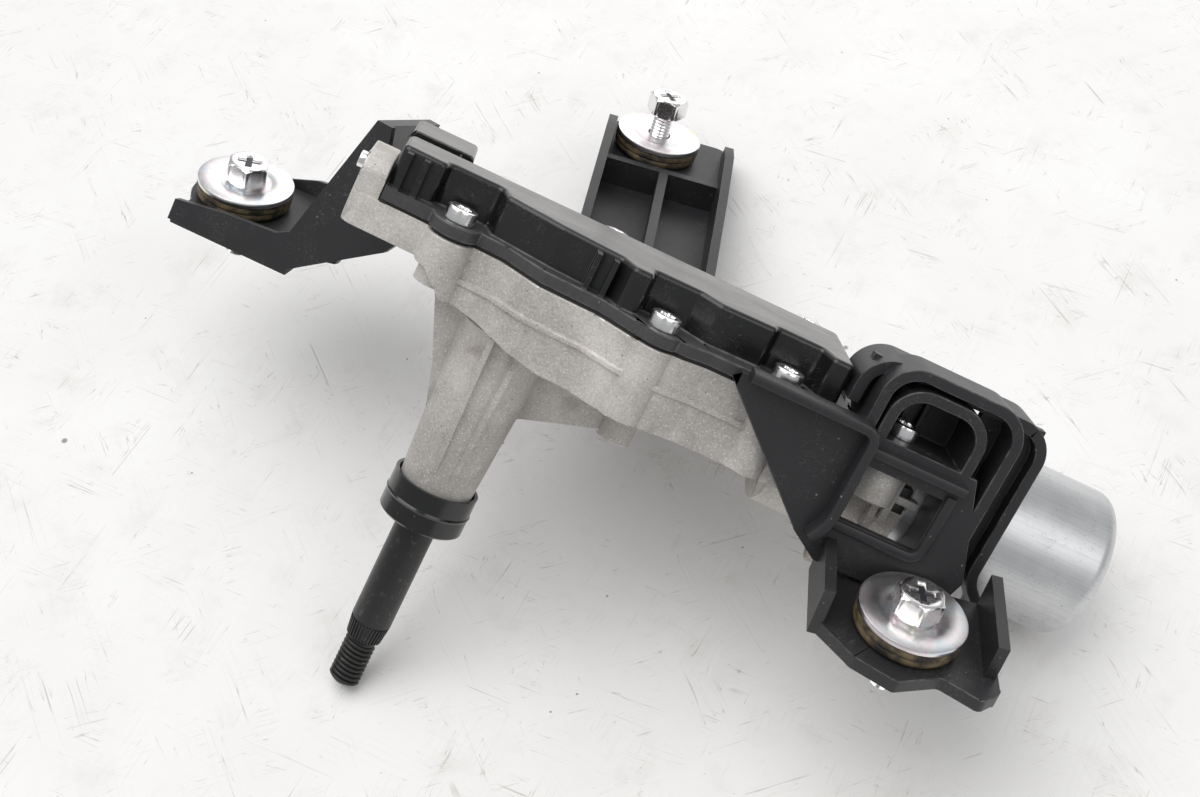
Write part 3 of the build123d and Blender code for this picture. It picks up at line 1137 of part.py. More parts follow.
# Left arm: a web that climbs from the foot to the case's end, a riser and a second web behind.
# Its profiles are drawn on the case's seat: first the reach along the arm, then the height.
ARM_DEPTH = 35.0
FRONT_WEB_LOW = [(70.4, 56.5), (37.8, 58.5), (14.4, 76.0), (9.4, 84.0)]
FRONT_WEB_LOW += [(4.5, 87.0), (4.5, 96.9), (23.4, 96.9)]
FRONT_WEB_TOP = [(25.4, 104.5), (29.4, 104.5), (38.9, 69.0), (42.4, 67.0), (56.4, 65.0), (70.4, 62.0)]
RISER = [(38.9, 58.4), (35.6, 60.0), (35.6, 67.0), (26.2, 104.5), (29.4, 104.5), (38.9, 69.0)]
BACK_WEB = [(64.0, 50.0), (36.4, 58.0), (27.0, 84.0), (26.2, 104.5)]
BACK_WEB += [(29.4, 104.5), (38.9, 78.0), (50.0, 76.0), (64.0, 70.0)]
LEFT_PAD = [(-14.5, -15.0), (18.5, -24.5), (28.0, 7.5), (-4.0, 17.5)]


def seat_plate(points, depth, thickness):
    """Plate of a profile drawn on the arm's seat, a depth behind its front face."""
    with BuildPart() as piece:
        with BuildSketch(ARM_SEAT.offset(ARM_GAP + depth)):
            with BuildLine():
                Polyline(*points, close=True)
            make_face()
        extrude(amount=thickness)
    return piece.part


with BuildPart() as left_arm:
    add(seat_plate(FRONT_WEB_LOW + FRONT_WEB_TOP, 0, BRACKET_WALL))
    add(seat_plate(RISER, 0, ARM_DEPTH))
    add(seat_plate(BACK_WEB, ARM_DEPTH - BRACKET_WALL, BRACKET_WALL))
    # Pad square to the bolt, joined to both webs
    with BuildSketch(foot_plane(LEFT_FOOT, PAD_TOP)) as left_pad:
        with BuildLine():
            Polyline(*LEFT_PAD, close=True)
        make_face()
        Circle(GROMMET_FLANGE_R + 2.0)
        Circle(GROMMET_NECK_R + FREE_GAP, mode=Mode.SUBTRACT)
    extrude(amount=-PAD_THICKNESS)
    with BuildSketch(ARM_SEAT):
        with Locations(*ARM_SCREWS):
            Circle(LUG_SCREW_R + FREE_GAP)
    extrude(amount=BRACKET_WALL + 1, mode=Mode.SUBTRACT)
save(left_arm, "left_arm")

# Rear arm: a sloping channel with a centre rib, a cross wall and a root on the case's back
REAR_LEFT_X = -15.5
REAR_RIGHT_X = 22.5
REAR_MIDDLE_X = (REAR_LEFT_X + REAR_RIGHT_X) / 2
REAR_WIDTH = REAR_RIGHT_X - REAR_LEFT_X
REAR_ROOT_Y = -74.0
REAR_STEP_Y = -14.0
REAR_TIP_Y = 13.0
REAR_WALL_TOP = 1.5
REAR_FLOOR = -12.0
REAR_BACK_Y = OUTLINE_BACK[1][1]

with BuildPart() as rear_arm:
    with BuildSketch(foot_plane(REAR_FOOT, PAD_TOP)) as rear_pad:
        with Locations((REAR_MIDDLE_X, (REAR_TIP_Y + REAR_STEP_Y) / 2)):
            Rectangle(REAR_WIDTH, REAR_TIP_Y - REAR_STEP_Y)
        fillet(rear_pad.vertices().sort_by(Axis.Y)[-2:], 5.0)
        Circle(GROMMET_NECK_R + FREE_GAP, mode=Mode.SUBTRACT)
    extrude(amount=-PAD_THICKNESS)
    # Floor of the channel, one step lower
    with BuildSketch(foot_plane(REAR_FOOT, REAR_FLOOR)):
        with Locations((REAR_MIDDLE_X, (REAR_ROOT_Y + REAR_STEP_Y) / 2)):
            Rectangle(REAR_WIDTH, REAR_STEP_Y - REAR_ROOT_Y)
    extrude(amount=-BRACKET_WALL)
    # Side walls with dropped, rounded ends
    for wall_x in (REAR_LEFT_X, REAR_RIGHT_X - BRACKET_WALL):
        wall_origin = foot_plane(REAR_FOOT).from_local_coords((wall_x, 0, 0))
        wall_plane = Plane(origin=wall_origin, x_dir=foot_plane(REAR_FOOT).y_dir, z_dir=FOOT_ACROSS)
        with BuildSketch(wall_plane) as wall:
            with BuildLine():
                Polyline(
                    (REAR_ROOT_Y, REAR_FLOOR - BRACKET_WALL),
                    (REAR_ROOT_Y, REAR_WALL_TOP - 4.0),
                    (-34.0, REAR_WALL_TOP),
                    (-8.0, REAR_WALL_TOP + 1.0),
                    (4.0, REAR_WALL_TOP - 2.0),
                    (REAR_TIP_Y - 4.0, PAD_TOP),
                    (REAR_TIP_Y - 4.0, PAD_TOP - PAD_THICKNESS),
                    (REAR_STEP_Y, REAR_FLOOR - BRACKET_WALL),
                    close=True,
                )
            make_face()
        extrude(amount=BRACKET_WALL)
    # Centre rib, cross wall and the step's riser
    with BuildSketch(foot_plane(REAR_FOOT, REAR_FLOOR)):
        with Locations((4.0, (REAR_ROOT_Y + REAR_STEP_Y) / 2)):
            Rectangle(BRACKET_WALL, REAR_STEP_Y - REAR_ROOT_Y)
        with Locations((REAR_MIDDLE_X, REAR_STEP_Y - BRACKET_WALL / 2)):
            Rectangle(REAR_WIDTH, BRACKET_WALL)
    extrude(amount=PAD_TOP - REAR_FLOOR + 2.0)
    with BuildSketch(foot_plane(REAR_FOOT, REAR_FLOOR - BRACKET_WALL)):
        with Locations((REAR_MIDDLE_X, REAR_STEP_Y + BRACKET_WALL / 2)):
            Rectangle(REAR_WIDTH, BRACKET_WALL)
    extrude(amount=PAD_TOP - REAR_FLOOR + BRACKET_WALL - 0.5)
    # Root plate on the case's back
    root_plane = Plane.XZ.offset(-REAR_BACK_Y - ARM_GAP)
    with BuildSketch(root_plane):
        with Locations((REAR_FOOT[0] + REAR_MIDDLE_X * FOOT_ACROSS.X + 7.5, REAR_ROOT_Z)):
            Rectangle(REAR_WIDTH, 13.0)
    extrude(amount=-REAR_ROOT_THICKNESS)
    # Nothing reaches through the case's back or over the root's screws
    with BuildSketch(root_plane):
        with Locations((REAR_FOOT[0], 90)):
            Rectangle(110, 90)
    extrude(amount=30, mode=Mode.SUBTRACT)
    with BuildSketch(root_plane.offset(30)):
        with Locations((REAR_FOOT[0], CASE_JOINT_Z + 20)):
            Rectangle(110, 40)
    extrude(amount=-31, mode=Mode.SUBTRACT)
    with BuildSketch(root_plane):
        with Locations(*[(x, REAR_ROOT_Z) for x in REAR_ROOT_SCREWS]):
            Circle(LUG_SCREW_R + FREE_GAP)
    extrude(amount=-REAR_ROOT_THICKNESS, mode=Mode.SUBTRACT)
    with BuildSketch(root_plane.offset(-REAR_ROOT_THICKNESS)):
        with Locations(*[(x, REAR_ROOT_Z) for x in REAR_ROOT_SCREWS]):
            Circle(LUG_SCREW_HEAD_R + 0.6)
    extrude(amount=-20, mode=Mode.SUBTRACT)
save(rear_arm, "rear_arm")

with BuildPart() as arm_screws:
    for reach, height in ARM_SCREWS:
        seat_point = ARM_SEAT.offset(ARM_GAP + BRACKET_WALL).from_local_coords((reach, height, 0))
        seat_plane = Plane(origin=seat_point, x_dir=ARM_SEAT.x_dir, z_dir=ARM_SEAT.z_dir)
        add(pan_screw(seat_plane, BRACKET_WALL + CASE_WALL))
    for x in REAR_ROOT_SCREWS:
        head_y = REAR_BACK_Y + ARM_GAP + REAR_ROOT_THICKNESS
        head_plane = Plane(origin=(x, head_y, REAR_ROOT_Z), x_dir=(-1, 0, 0), z_dir=(0, 1, 0))
        add(pan_screw(head_plane, REAR_ROOT_THICKNESS + CASE_WALL - 0.4))
save(arm_screws, "arm_screws")

# Front bracket: front wall with a window, screw ledge, nested rims astride the can, foot pad
WINDOW = (90.0, 86.8)
WINDOW_SIZE = (19.0, 13.6)
TRAY_BACK_Y = -13.0
CAN_CLEARANCE = 0.5
TRAY_RIBS = (83.0, 87.0, 91.0)
FRONT_WALL = [(46.5, FLANGE_TOP_Z), (46.5, 97.5), (73.0, 73.5), (80.0, 69.0)]
FRONT_WALL += [(110.0, 69.0), (113.0, 78.0), (104.0, FLANGE_TOP_Z)]
INNER_RIM = [(80.0, FLANGE_TOP_Z), (80.0, 113.0), (101.0, 113.0), (101.0, 75.0)]
MIDDLE_RIM = [(76.6, FLANGE_TOP_Z), (76.6, 116.8), (108.0, 116.8), (108.0, 73.0)]
OUTER_RIM = [(72.4, 104.0), (72.4, 115.0), (116.5, 115.0), (116.5, 77.5), (122.5, 71.5), (126.5, 65.0)]
INNER_STEP = [(76.5, FLANGE_Z), (73.0, 104.0), (73.0, 115.0), (116.0, 115.0)]
INNER_STEP += [(116.0, 74.0), (101.0, 74.0), (101.0, FLANGE_Z)]
MIDDLE_RIM_DEPTH = 12.6
OUTER_RIM_FRONT_Y = -24.0
STEP_Y = -20.0
FRONT_PAD = [(-21.0, 16.0), (-21.0, -3.0), (-11.0, -13.0), (-2.0, -17.0)]
FRONT_PAD += [(8.0, -12.0), (17.0, -16.0), (21.0, -12.0), (20.0, 16.0)]
FOOT_WALL_HEIGHT = 9.0
RIM_CORNER_R = 7.0


def rim(points, front, depth):
    """Wall that follows a line of points seen from the front, with rounded corners."""
    with BuildPart() as piece:
        with BuildSketch(Plane.XZ.offset(-front)):
            with BuildLine():
                FilletPolyline(*points, radius=RIM_CORNER_R)
            trace(line_width=BRACKET_WALL)
        extrude(amount=-depth)
    return piece.part


with BuildPart() as front_bracket:
    with BuildSketch(Plane.XZ.offset(-BRACKET_FRONT_Y)) as front_wall:
        with BuildLine():
            Polyline(*FRONT_WALL, close=True)
        make_face()
        fillet(front_wall.vertices().sort_by(Axis.Z)[:3], 2.0)
        with Locations(WINDOW):
            Rectangle(*WINDOW_SIZE, mode=Mode.SUBTRACT)
    extrude(amount=-BRACKET_WALL)
    # Ledge on the case's lugs: a strip, a tab round the ledge screw and the tray's floor
    with BuildSketch(Plane.XY.offset(FLANGE_Z)):
        with Locations((61.0, BRACKET_FRONT_Y + 2.0)):
            Rectangle(29.0, 4.0)
        with Locations(LEDGE_SCREW):
            Circle(LEDGE_TAB_R)
        with Locations((LEDGE_SCREW[0], (LEDGE_SCREW[1] + BRACKET_FRONT_Y) / 2)):
            Rectangle(2 * LEDGE_TAB_R, LEDGE_SCREW[1] - BRACKET_FRONT_Y)
        with Locations(((75.0 + 103.0) / 2, (BRACKET_FRONT_Y + TRAY_BACK_Y) / 2)):
            Rectangle(103.0 - 75.0, TRAY_BACK_Y - BRACKET_FRONT_Y)
    extrude(amount=FLANGE_THICKNESS)
    # Step plate that joins the three rims, with the tray's deeper back inside the inner one
    with BuildSketch(Plane.XZ.offset(-STEP_Y)) as step_plate:
        with BuildLine():
            Polyline(*INNER_STEP, close=True)
        make_face()
        fillet(step_plate.vertices().sort_by(Axis.Z)[-2:], RIM_CORNER_R)
        with BuildLine():
            Polyline(*INNER_RIM[:3], (INNER_RIM[2][0], FLANGE_Z), (INNER_RIM[0][0], FLANGE_Z), close=True)
        make_face(mode=Mode.SUBTRACT)
    extrude(amount=-BRACKET_WALL)
    add(rim(INNER_RIM, BRACKET_FRONT_Y, TRAY_BACK_Y - BRACKET_FRONT_Y + BRACKET_WALL))
    add(rim(MIDDLE_RIM, BRACKET_FRONT_Y, MIDDLE_RIM_DEPTH))
    add(rim(OUTER_RIM, OUTER_RIM_FRONT_Y, -OUTER_RIM_FRONT_Y - CAN_R / 2))
    with BuildSketch(Plane.XZ.offset(-TRAY_BACK_Y)):
        with Locations(((INNER_RIM[0][0] + INNER_RIM[2][0]) / 2, (FLANGE_Z + INNER_RIM[1][1]) / 2)):
            Rectangle(INNER_RIM[2][0] - INNER_RIM[0][0], INNER_RIM[1][1] - FLANGE_Z)
    extrude(amount=-BRACKET_WALL)
    # Upright ribs in the tray
    with BuildSketch(Plane.XY.offset(FLANGE_TOP_Z)):
        with Locations(*[(x, TRAY_BACK_Y - 1.0) for x in TRAY_RIBS]):
            Rectangle(1.2, 2.4)
    extrude(amount=INNER_RIM[1][1] - FLANGE_TOP_Z)
    # Foot pad square to the bolt, with its side walls
    with BuildSketch(foot_plane(FRONT_FOOT, PAD_TOP)) as front_pad:
        with BuildLine():
            Polyline(*FRONT_PAD, close=True)
        make_face()
        fillet(front_pad.vertices(), 2.0)
        Circle(GROMMET_NECK_R + FREE_GAP, mode=Mode.SUBTRACT)
    extrude(amount=-PAD_THICKNESS)
    with BuildSketch(foot_plane(FRONT_FOOT, PAD_TOP - PAD_THICKNESS)):
        with Locations((-19.7, 5.5)):
            Rectangle(BRACKET_WALL, 21.0)
        with Locations((18.7, 4.0)):
            Rectangle(BRACKET_WALL, 24.0)
    extrude(amount=PAD_THICKNESS + FOOT_WALL_HEIGHT)
    # Room for the motor, the case's lugs and the screws
    with BuildSketch(motor_plane(BELL_X)):
        Circle(CAN_R + CAN_CLEARANCE)
    extrude(amount=CAN_END_X - BELL_X, mode=Mode.SUBTRACT)
    with BuildSketch(motor_plane(CAN_X - EAR_BOSS_LENGTH - 1)):
        with Locations((0, EAR_REACH), (0, -EAR_REACH)):
            Circle(EAR_R + 1.0)
    extrude(amount=EAR_BOSS_LENGTH + 9, mode=Mode.SUBTRACT)
    with BuildSketch(Plane.XY.offset(WORM_AXIS_Z)):
        with Locations(TRAY_SCREW):
            Circle(LUG_R + 0.4)
        with Locations((TRAY_SCREW[0], TRAY_SCREW[1] + LUG_R)):
            Rectangle(2 * LUG_R + 0.8, 2 * LUG_R)
    extrude(amount=FLANGE_Z - WORM_AXIS_Z, mode=Mode.SUBTRACT)
    with BuildSketch(Plane.XY.offset(FLANGE_Z)):
        with Locations(LEDGE_SCREW, TRAY_SCREW):
            Circle(LUG_SCREW_R + FREE_GAP)
    extrude(amount=FLANGE_THICKNESS, mode=Mode.SUBTRACT)
save(front_bracket, "front_bracket")

with BuildPart() as bracket_screws:
    for x, y in (LEDGE_SCREW, TRAY_SCREW):
        add(pan_screw(Plane(origin=(x, y, FLANGE_TOP_Z)), LUG_SCREW_LENGTH - 1))
save(bracket_screws, "bracket_screws")
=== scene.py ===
"""Rear wiper motor: the looks of its pieces, its bench and its light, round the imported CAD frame."""

import json
import logging
import math
from dataclasses import dataclass
from enum import Enum
from itertools import product
from typing import Callable, Iterable, Sequence

import bmesh
import bpy
from bpy.types import Material, Mesh, Node, NodeSocket, NodeTree, Object
from mathutils import Matrix, Vector


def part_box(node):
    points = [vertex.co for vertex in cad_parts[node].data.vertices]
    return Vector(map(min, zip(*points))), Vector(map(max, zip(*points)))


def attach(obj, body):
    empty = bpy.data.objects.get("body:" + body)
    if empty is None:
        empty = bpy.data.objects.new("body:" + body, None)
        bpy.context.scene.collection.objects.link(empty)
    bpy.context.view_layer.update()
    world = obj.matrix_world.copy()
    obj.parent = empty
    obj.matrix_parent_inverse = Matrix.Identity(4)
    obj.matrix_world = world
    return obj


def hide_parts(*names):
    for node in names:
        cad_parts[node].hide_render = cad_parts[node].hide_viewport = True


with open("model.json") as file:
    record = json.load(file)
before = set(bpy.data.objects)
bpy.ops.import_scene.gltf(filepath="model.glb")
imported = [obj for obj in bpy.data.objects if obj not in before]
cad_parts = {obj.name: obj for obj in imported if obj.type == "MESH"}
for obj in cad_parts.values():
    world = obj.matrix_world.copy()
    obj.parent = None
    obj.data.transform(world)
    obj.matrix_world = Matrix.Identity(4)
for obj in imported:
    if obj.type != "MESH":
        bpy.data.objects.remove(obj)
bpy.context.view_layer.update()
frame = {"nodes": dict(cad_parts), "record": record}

MM = 0.001
EDGE_MARK = "edge"
BENCH_NORMAL = Vector((-0.395, -0.599, 0.697)).normalized()
SMOOTH_ANGLE = math.radians(34)
LOG = logging.getLogger("wiper_motor")

Form = bmesh.types.BMesh
Pair = tuple[float, float]
Triple = tuple[float, float, float]
Colour = tuple[float, float, float]
Section = Callable[[float], float]


class Body(Enum):
    """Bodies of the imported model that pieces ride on."""

    HOUSING = "housing"
    SPINDLE = "spindle"


class Slot(Enum):
    """Material slots of the record."""

    CAST = "die_cast"
    COVER = "cover_plastic"
    BRACKET = "bracket_plastic"
    ZINC = "zinc_bright"
    CAN = "can_steel"
    BLACK_STEEL = "black_steel"
    RUBBER = "rubber"


# Node trees


def maths(operation: str, reflected: bool = False) -> Callable[..., "Wire"]:
    """Makes a method of Wire that adds one Math node.

    Args:
        operation: the node's operation.
        reflected: whether the wire stands on the right of the other value.

    Returns:
        The method.
    """
    def method(self: "Wire", *others: object) -> "Wire":
        """Result of the operation on this wire and the others."""
        values = (*others, self) if reflected else (self, *others)
        return self.tree.wire("ShaderNodeMath", {"operation": operation}, dict(enumerate(values)))
    return method


class Wire:
    """An output socket that takes part in Python arithmetic, each step of which is a Math node."""

    __add__, __radd__ = maths("ADD"), maths("ADD", True)
    __sub__, __rsub__ = maths("SUBTRACT"), maths("SUBTRACT", True)
    __mul__, __rmul__ = maths("MULTIPLY"), maths("MULTIPLY", True)
    __truediv__, __rtruediv__ = maths("DIVIDE"), maths("DIVIDE", True)
    __gt__, __lt__ = maths("GREATER_THAN"), maths("LESS_THAN")
    __abs__ = maths("ABSOLUTE")
    most = maths("MAXIMUM")

    def __init__(self, tree: "Tree", socket: NodeSocket) -> None:
        """Keeps the tree that the socket belongs to."""
        self.tree = tree
        self.socket = socket

    def rise(self, low: float, high: float) -> "Wire":
        """Soft step.

        Args:
            low: value that gives 0.
            high: value that gives 1, which may be the lower one.

        Returns:
            A mask from 0 to 1.
        """
        sockets = {"Value": self, "From Min": low, "From Max": high}
        if low > high:
            sockets = {"Value": self, "From Min": high, "From Max": low, "To Min": 1.0, "To Max": 0.0}
        return self.tree.wire("ShaderNodeMapRange", {"interpolation_type": "SMOOTHSTEP"}, sockets)


class Tree:
    """A node tree that grows by one node at a time."""

    def __init__(self, tree: NodeTree) -> None:
        """Takes a tree and empties it."""
        self.tree = tree
        self.tree.nodes.clear()

    def node(self, kind: str, settings: dict | None = None, sockets: dict | None = None) -> Node:
        """Adds a node.

        Args:
            kind: the node's type.
            settings: properties set first; "stops" gives a ramp's positions and colours.
            sockets: values, wires or sockets for its inputs, by name or index.

        Returns:
            The node.
        """
        node = self.tree.nodes.new(kind)
        for key, value in (settings or {}).items():
            if key == "stops":
                self._stops(node.color_ramp.elements, value)
            else:
                setattr(node, key, value)
        for key, value in (sockets or {}).items():
            self._feed(node.inputs[key], value)
        return node

    def wire(self, kind: str, settings: dict | None = None, sockets: dict | None = None,
             output: int | str = 0) -> Wire:
        """Adds a node and gives one of its outputs."""
        return Wire(self, self.node(kind, settings, sockets).outputs[output])

    @staticmethod
    def _stops(elements: bpy.types.bpy_prop_collection, stops: Sequence[tuple[float, Colour]]) -> None:
        """Sets a ramp's stops.

        Args:
            elements: the ramp's elements.
            stops: position and colour of each stop.
        """
        while len(elements) < len(stops):
            elements.new(0.5)
        for element, (position, colour) in zip(elements, stops):
            element.position = position
            element.color = (*colour, 1.0)

    def _feed(self, target: NodeSocket, value: object) -> None:
        """Gives an input its link or its value.

        Args:
            target: the input.
            value: a wire or socket to link, or the value to set.
        """
        if isinstance(value, Wire):
            value = value.socket
        if isinstance(value, NodeSocket):
            self.tree.links.new(value, target)
        elif target.type == "RGBA":
            target.default_value = (*value, 1.0)
        else:
            target.default_value = value


class Paint(Tree):
    """One material and the nodes in it."""

    def __init__(self, name: str) -> None:
        """Starts a material that sees the object's own coordinates."""
        self.material = bpy.data.materials.new(name)
        self.material.use_nodes = True
        super().__init__(self.material.node_tree)
        self.place = self.wire("ShaderNodeTexCoord", output="Object")

    def stretched(self, scale: Sequence[float], turn: Sequence[float] = (0.0, 0.0, 0.0)) -> Wire:
        """Object coordinates that draw a pattern out by a scale, after a turn."""
        sockets = {"Vector": self.place, "Scale": scale, "Rotation": turn}
        return self.wire("ShaderNodeMapping", {"vector_type": "TEXTURE"}, sockets)

    def noise(self, size: float, detail: float = 2.0, rough: float = 0.5, at: Wire | None = None) -> Wire:
        """Noise.

        Args:
            size: width of a blot, in metres of the coordinates.
            detail: octaves.
            rough: weight of the finer octaves.
            at: coordinates, the object's own if not given.

        Returns:
            A value round 0.5.
        """
        sockets = {"Vector": at or self.place, "Scale": 1.0 / size, "Detail": detail, "Roughness": rough}
        return self.wire("ShaderNodeTexNoise", None, sockets)

    def specks(self, size: float, share: float, blot: float) -> Wire:
        """Scattered round specks.

        Args:
            size: spacing of the cells that may hold one, in metres.
            share: part of the cells that do.
            blot: radius of a speck, as a part of the spacing.

        Returns:
            A mask from 0 to 1.
        """
        cell = self.node("ShaderNodeTexVoronoi", None, {"Vector": self.place, "Scale": 1.0 / size})
        pick = self.wire("ShaderNodeSeparateColor", None, {0: cell.outputs["Color"]})
        return Wire(self, cell.outputs["Distance"]).rise(blot, blot * 0.5) * (pick > 1.0 - share)

    def scratches(self, size: float, width: float, turn: Sequence[float], length: float = 30.0) -> Wire:
        """Fine lines in one direction, broken by a coarse mask.

        Args:
            size: spacing of the lines, in metres.
            width: how much of the noise counts as line.
            turn: rotation of their direction.
            length: length of a line against the spacing.

        Returns:
            A mask from 0 to 1.
        """
        line = self.noise(size, 1.0, 0.4, self.stretched((length, 1.0, 1.0), turn))
        broken = self.noise(size * 9.0, 1.0, 0.5).rise(0.5, 0.62)
        return abs(line - 0.5).rise(width, 0.0) * broken

    def layered(self, colour: object, *layers: tuple[Wire, object]) -> Wire:
        """Lays colours over one another.

        Args:
            colour: the lowest one.
            layers: mask and colour of each layer, upwards.

        Returns:
            The colour seen.
        """
        for mask, tint in layers:
            colour = self.wire("ShaderNodeMix", {"data_type": "RGBA"}, {0: mask, 6: colour, 7: tint}, 2)
        return colour

    def height(self) -> Wire:
        """Height over the spindle's shoulder, in metres."""
        return self.wire("ShaderNodeSeparateXYZ", None, {0: self.place}, 2)

    def upward(self, direction: Sequence[float]) -> Wire:
        """How far the surface looks in a direction of the frame, from -1 to 1."""
        sockets = {0: self.wire("ShaderNodeTexCoord", output="Normal"), 1: tuple(direction)}
        return self.wire("ShaderNodeVectorMath", {"operation": "DOT_PRODUCT"}, sockets, "Value")

    def rounded_edges(self) -> Wire:
        """The mark that rounded edges carry, 0 where a piece has none."""
        return self.wire("ShaderNodeAttribute", {"attribute_name": EDGE_MARK}, output="Fac")

    def bump(self, height: Wire, depth: float, strength: float) -> Wire:
        """Normal from a height of 0 to 1 that is a depth of metres."""
        return self.wire("ShaderNodeBump", None, {"Height": height, "Distance": depth, "Strength": strength})

    def surface(self, sockets: dict) -> Material:
        """Closes the material with one Principled shader.

        Args:
            sockets: its inputs by name.

        Returns:
            The material.
        """
        shader = self.wire("ShaderNodeBsdfPrincipled", None, sockets)
        self.node("ShaderNodeOutputMaterial", None, {"Surface": shader})
        return self.material


# Finishes


@dataclass(frozen=True)
class CastAluminium:
    """Sand-coloured die-cast aluminium with a sparkling grain, a few stains and a painted highlight along its
    rounded edges.
    """

    name: str = "cast_aluminium"
    dark: Colour = (0.37, 0.348, 0.325)
    light: Colour = (0.70, 0.672, 0.635)
    # near-white of the grain's sparkle and of the painted highlight on rounded edges
    sparkle_and_highlight: Colour = (0.96, 0.95, 0.93)
    stain: Colour = (0.20, 0.145, 0.085)
    grain: float = 0.55 * MM
    stain_heights: Pair = (66.0 * MM, 82.0 * MM)

    def material(self) -> Material:
        """Builds the material.

        Returns:
            The material.
        """
        paint = Paint(self.name)
        grain = paint.noise(self.grain, 3.0, 0.65)
        clouds = paint.noise(14 * MM, 4.0, 0.6)
        flow = paint.noise(5 * MM, 2.0, 0.5)
        broad = paint.noise(34 * MM, 3.0, 0.55)
        tone = (grain * 0.8 + clouds * 0.7 + broad * 0.9 - 0.70).rise(0.1, 0.9)
        sparks = paint.specks(0.42 * MM, 0.16, 0.42)
        pits = paint.specks(1.7 * MM, 0.10, 0.20)
        low, high = self.stain_heights
        band = paint.height().rise(low, (low + high) / 2) * paint.height().rise(high, (low + high) / 2)
        stains = (band * 0.6 + 0.25) * paint.noise(8 * MM, 4.0, 0.65).rise(0.52, 0.72)
        # painted highlight: the rounded edges are drawn near-white in patches
        edge = paint.rounded_edges() * paint.noise(3 * MM, 3.0, 0.6).rise(0.45, 0.7)
        return paint.surface({
            "Base Color": paint.layered(
                self.dark, (tone, self.light), (sparks * 0.65, self.sparkle_and_highlight), (pits * 0.6, self.stain),
                (stains * 0.55, self.stain), (edge * 0.4, self.sparkle_and_highlight)),
            "Metallic": 0.42,
            "Roughness": 0.62 - sparks * 0.3 + stains * 0.1 - edge * 0.15,
            "Normal": paint.bump(grain * 0.8 + flow * 0.5 + clouds * 0.4, 0.16 * MM, 0.75),
        })


@dataclass(frozen=True)
class BlackMoulding:
    """Black moulded plastic: its gloss, its dust on what looks up, its scuffs, its rubbed edges and on a
    cover's top a grey film, partly dust and partly painted reflection.
    """

    name: str
    base: Colour = (0.020, 0.0195, 0.0215)
    roughness: float = 0.36
    coat: float = 0.0
    grain: float = 0.35 * MM
    relief: float = 0.03 * MM
    dust: float = 0.25
    dust_colour: Colour = (0.30, 0.275, 0.24)
    scuffs: float = 0.3
    rubbed: Colour = (0.13, 0.127, 0.125)
    dull_below: float = 0.0
    dull: Colour = (0.048, 0.047, 0.048)
    # height above which upward faces get a grey film: partly dust, partly painted reflection
    dust_and_sheen_above: float = 0.0
    film: Colour = (0.34, 0.32, 0.30)

    def material(self) -> Material:
        """Builds the material.

        Returns:
            The material.
        """
        paint = Paint(self.name)
        clouds = paint.noise(11 * MM, 4.0, 0.6)
        grain = paint.noise(self.grain, 2.0, 0.5)
        specks = paint.specks(1.9 * MM, 0.12, 0.13).most(paint.specks(3.7 * MM, 0.14, 0.09))
        lines = paint.scratches(0.9 * MM, 0.014, (0.3, 0.0, 0.7)).most(
            paint.scratches(1.3 * MM, 0.010, (0.0, 0.4, 2.1)))
        edge = paint.rounded_edges() * paint.noise(2.6 * MM, 3.0, 0.6).rise(0.34, 0.62)
        dust = paint.upward(BENCH_NORMAL).rise(0.35, 0.95) * (clouds * 0.8 + 0.2) * self.dust
        layers = [(dust * 0.06, self.dust_colour)]
        if self.dull_below:
            flange = paint.height().rise(self.dull_below + 0.4 * MM, self.dull_below)
            dust = dust + flange * 0.55
            layers.append((flange * (paint.noise(1.2 * MM, 3.0, 0.7) * 0.6 + 0.6), self.dull))
        # painted reflection, partly dust: a streaked grey film over the top faces, with dark scuffs through
        # it
        if self.dust_and_sheen_above:
            top = paint.upward((0.0, 0.0, 1.0)).rise(0.9, 0.99)
            top = top * paint.height().rise(self.dust_and_sheen_above, self.dust_and_sheen_above + 1 * MM)
            streaks = paint.noise(6 * MM, 5.0, 0.68, paint.stretched((3.5, 1.0, 1.0), (0.0, 0.0, 0.15)))
            worn = paint.scratches(1.0 * MM, 0.03, (0.0, 0.0, 0.25), 14.0).most(
                paint.scratches(1.4 * MM, 0.02, (0.0, 0.0, -0.3), 12.0))
            layers.append((top * (streaks.rise(0.36, 0.74) * 0.24 + 0.10), self.film))
            layers.append((top * worn * 0.7, self.base))
        return paint.surface({
            "Base Color": paint.layered(
                self.base, *layers, (lines * self.scuffs, self.rubbed), (edge * 0.55, self.rubbed),
                (specks * 0.55, self.dust_colour)),
            "Roughness": self.roughness + clouds * 0.10 - 0.05 + dust * 0.5 + lines * 0.15 + specks * 0.3,
            "Coat Weight": self.coat,
            "Coat Roughness": 0.18,
            "Normal": paint.bump(grain + clouds * 0.8, self.relief, 0.5),
        })


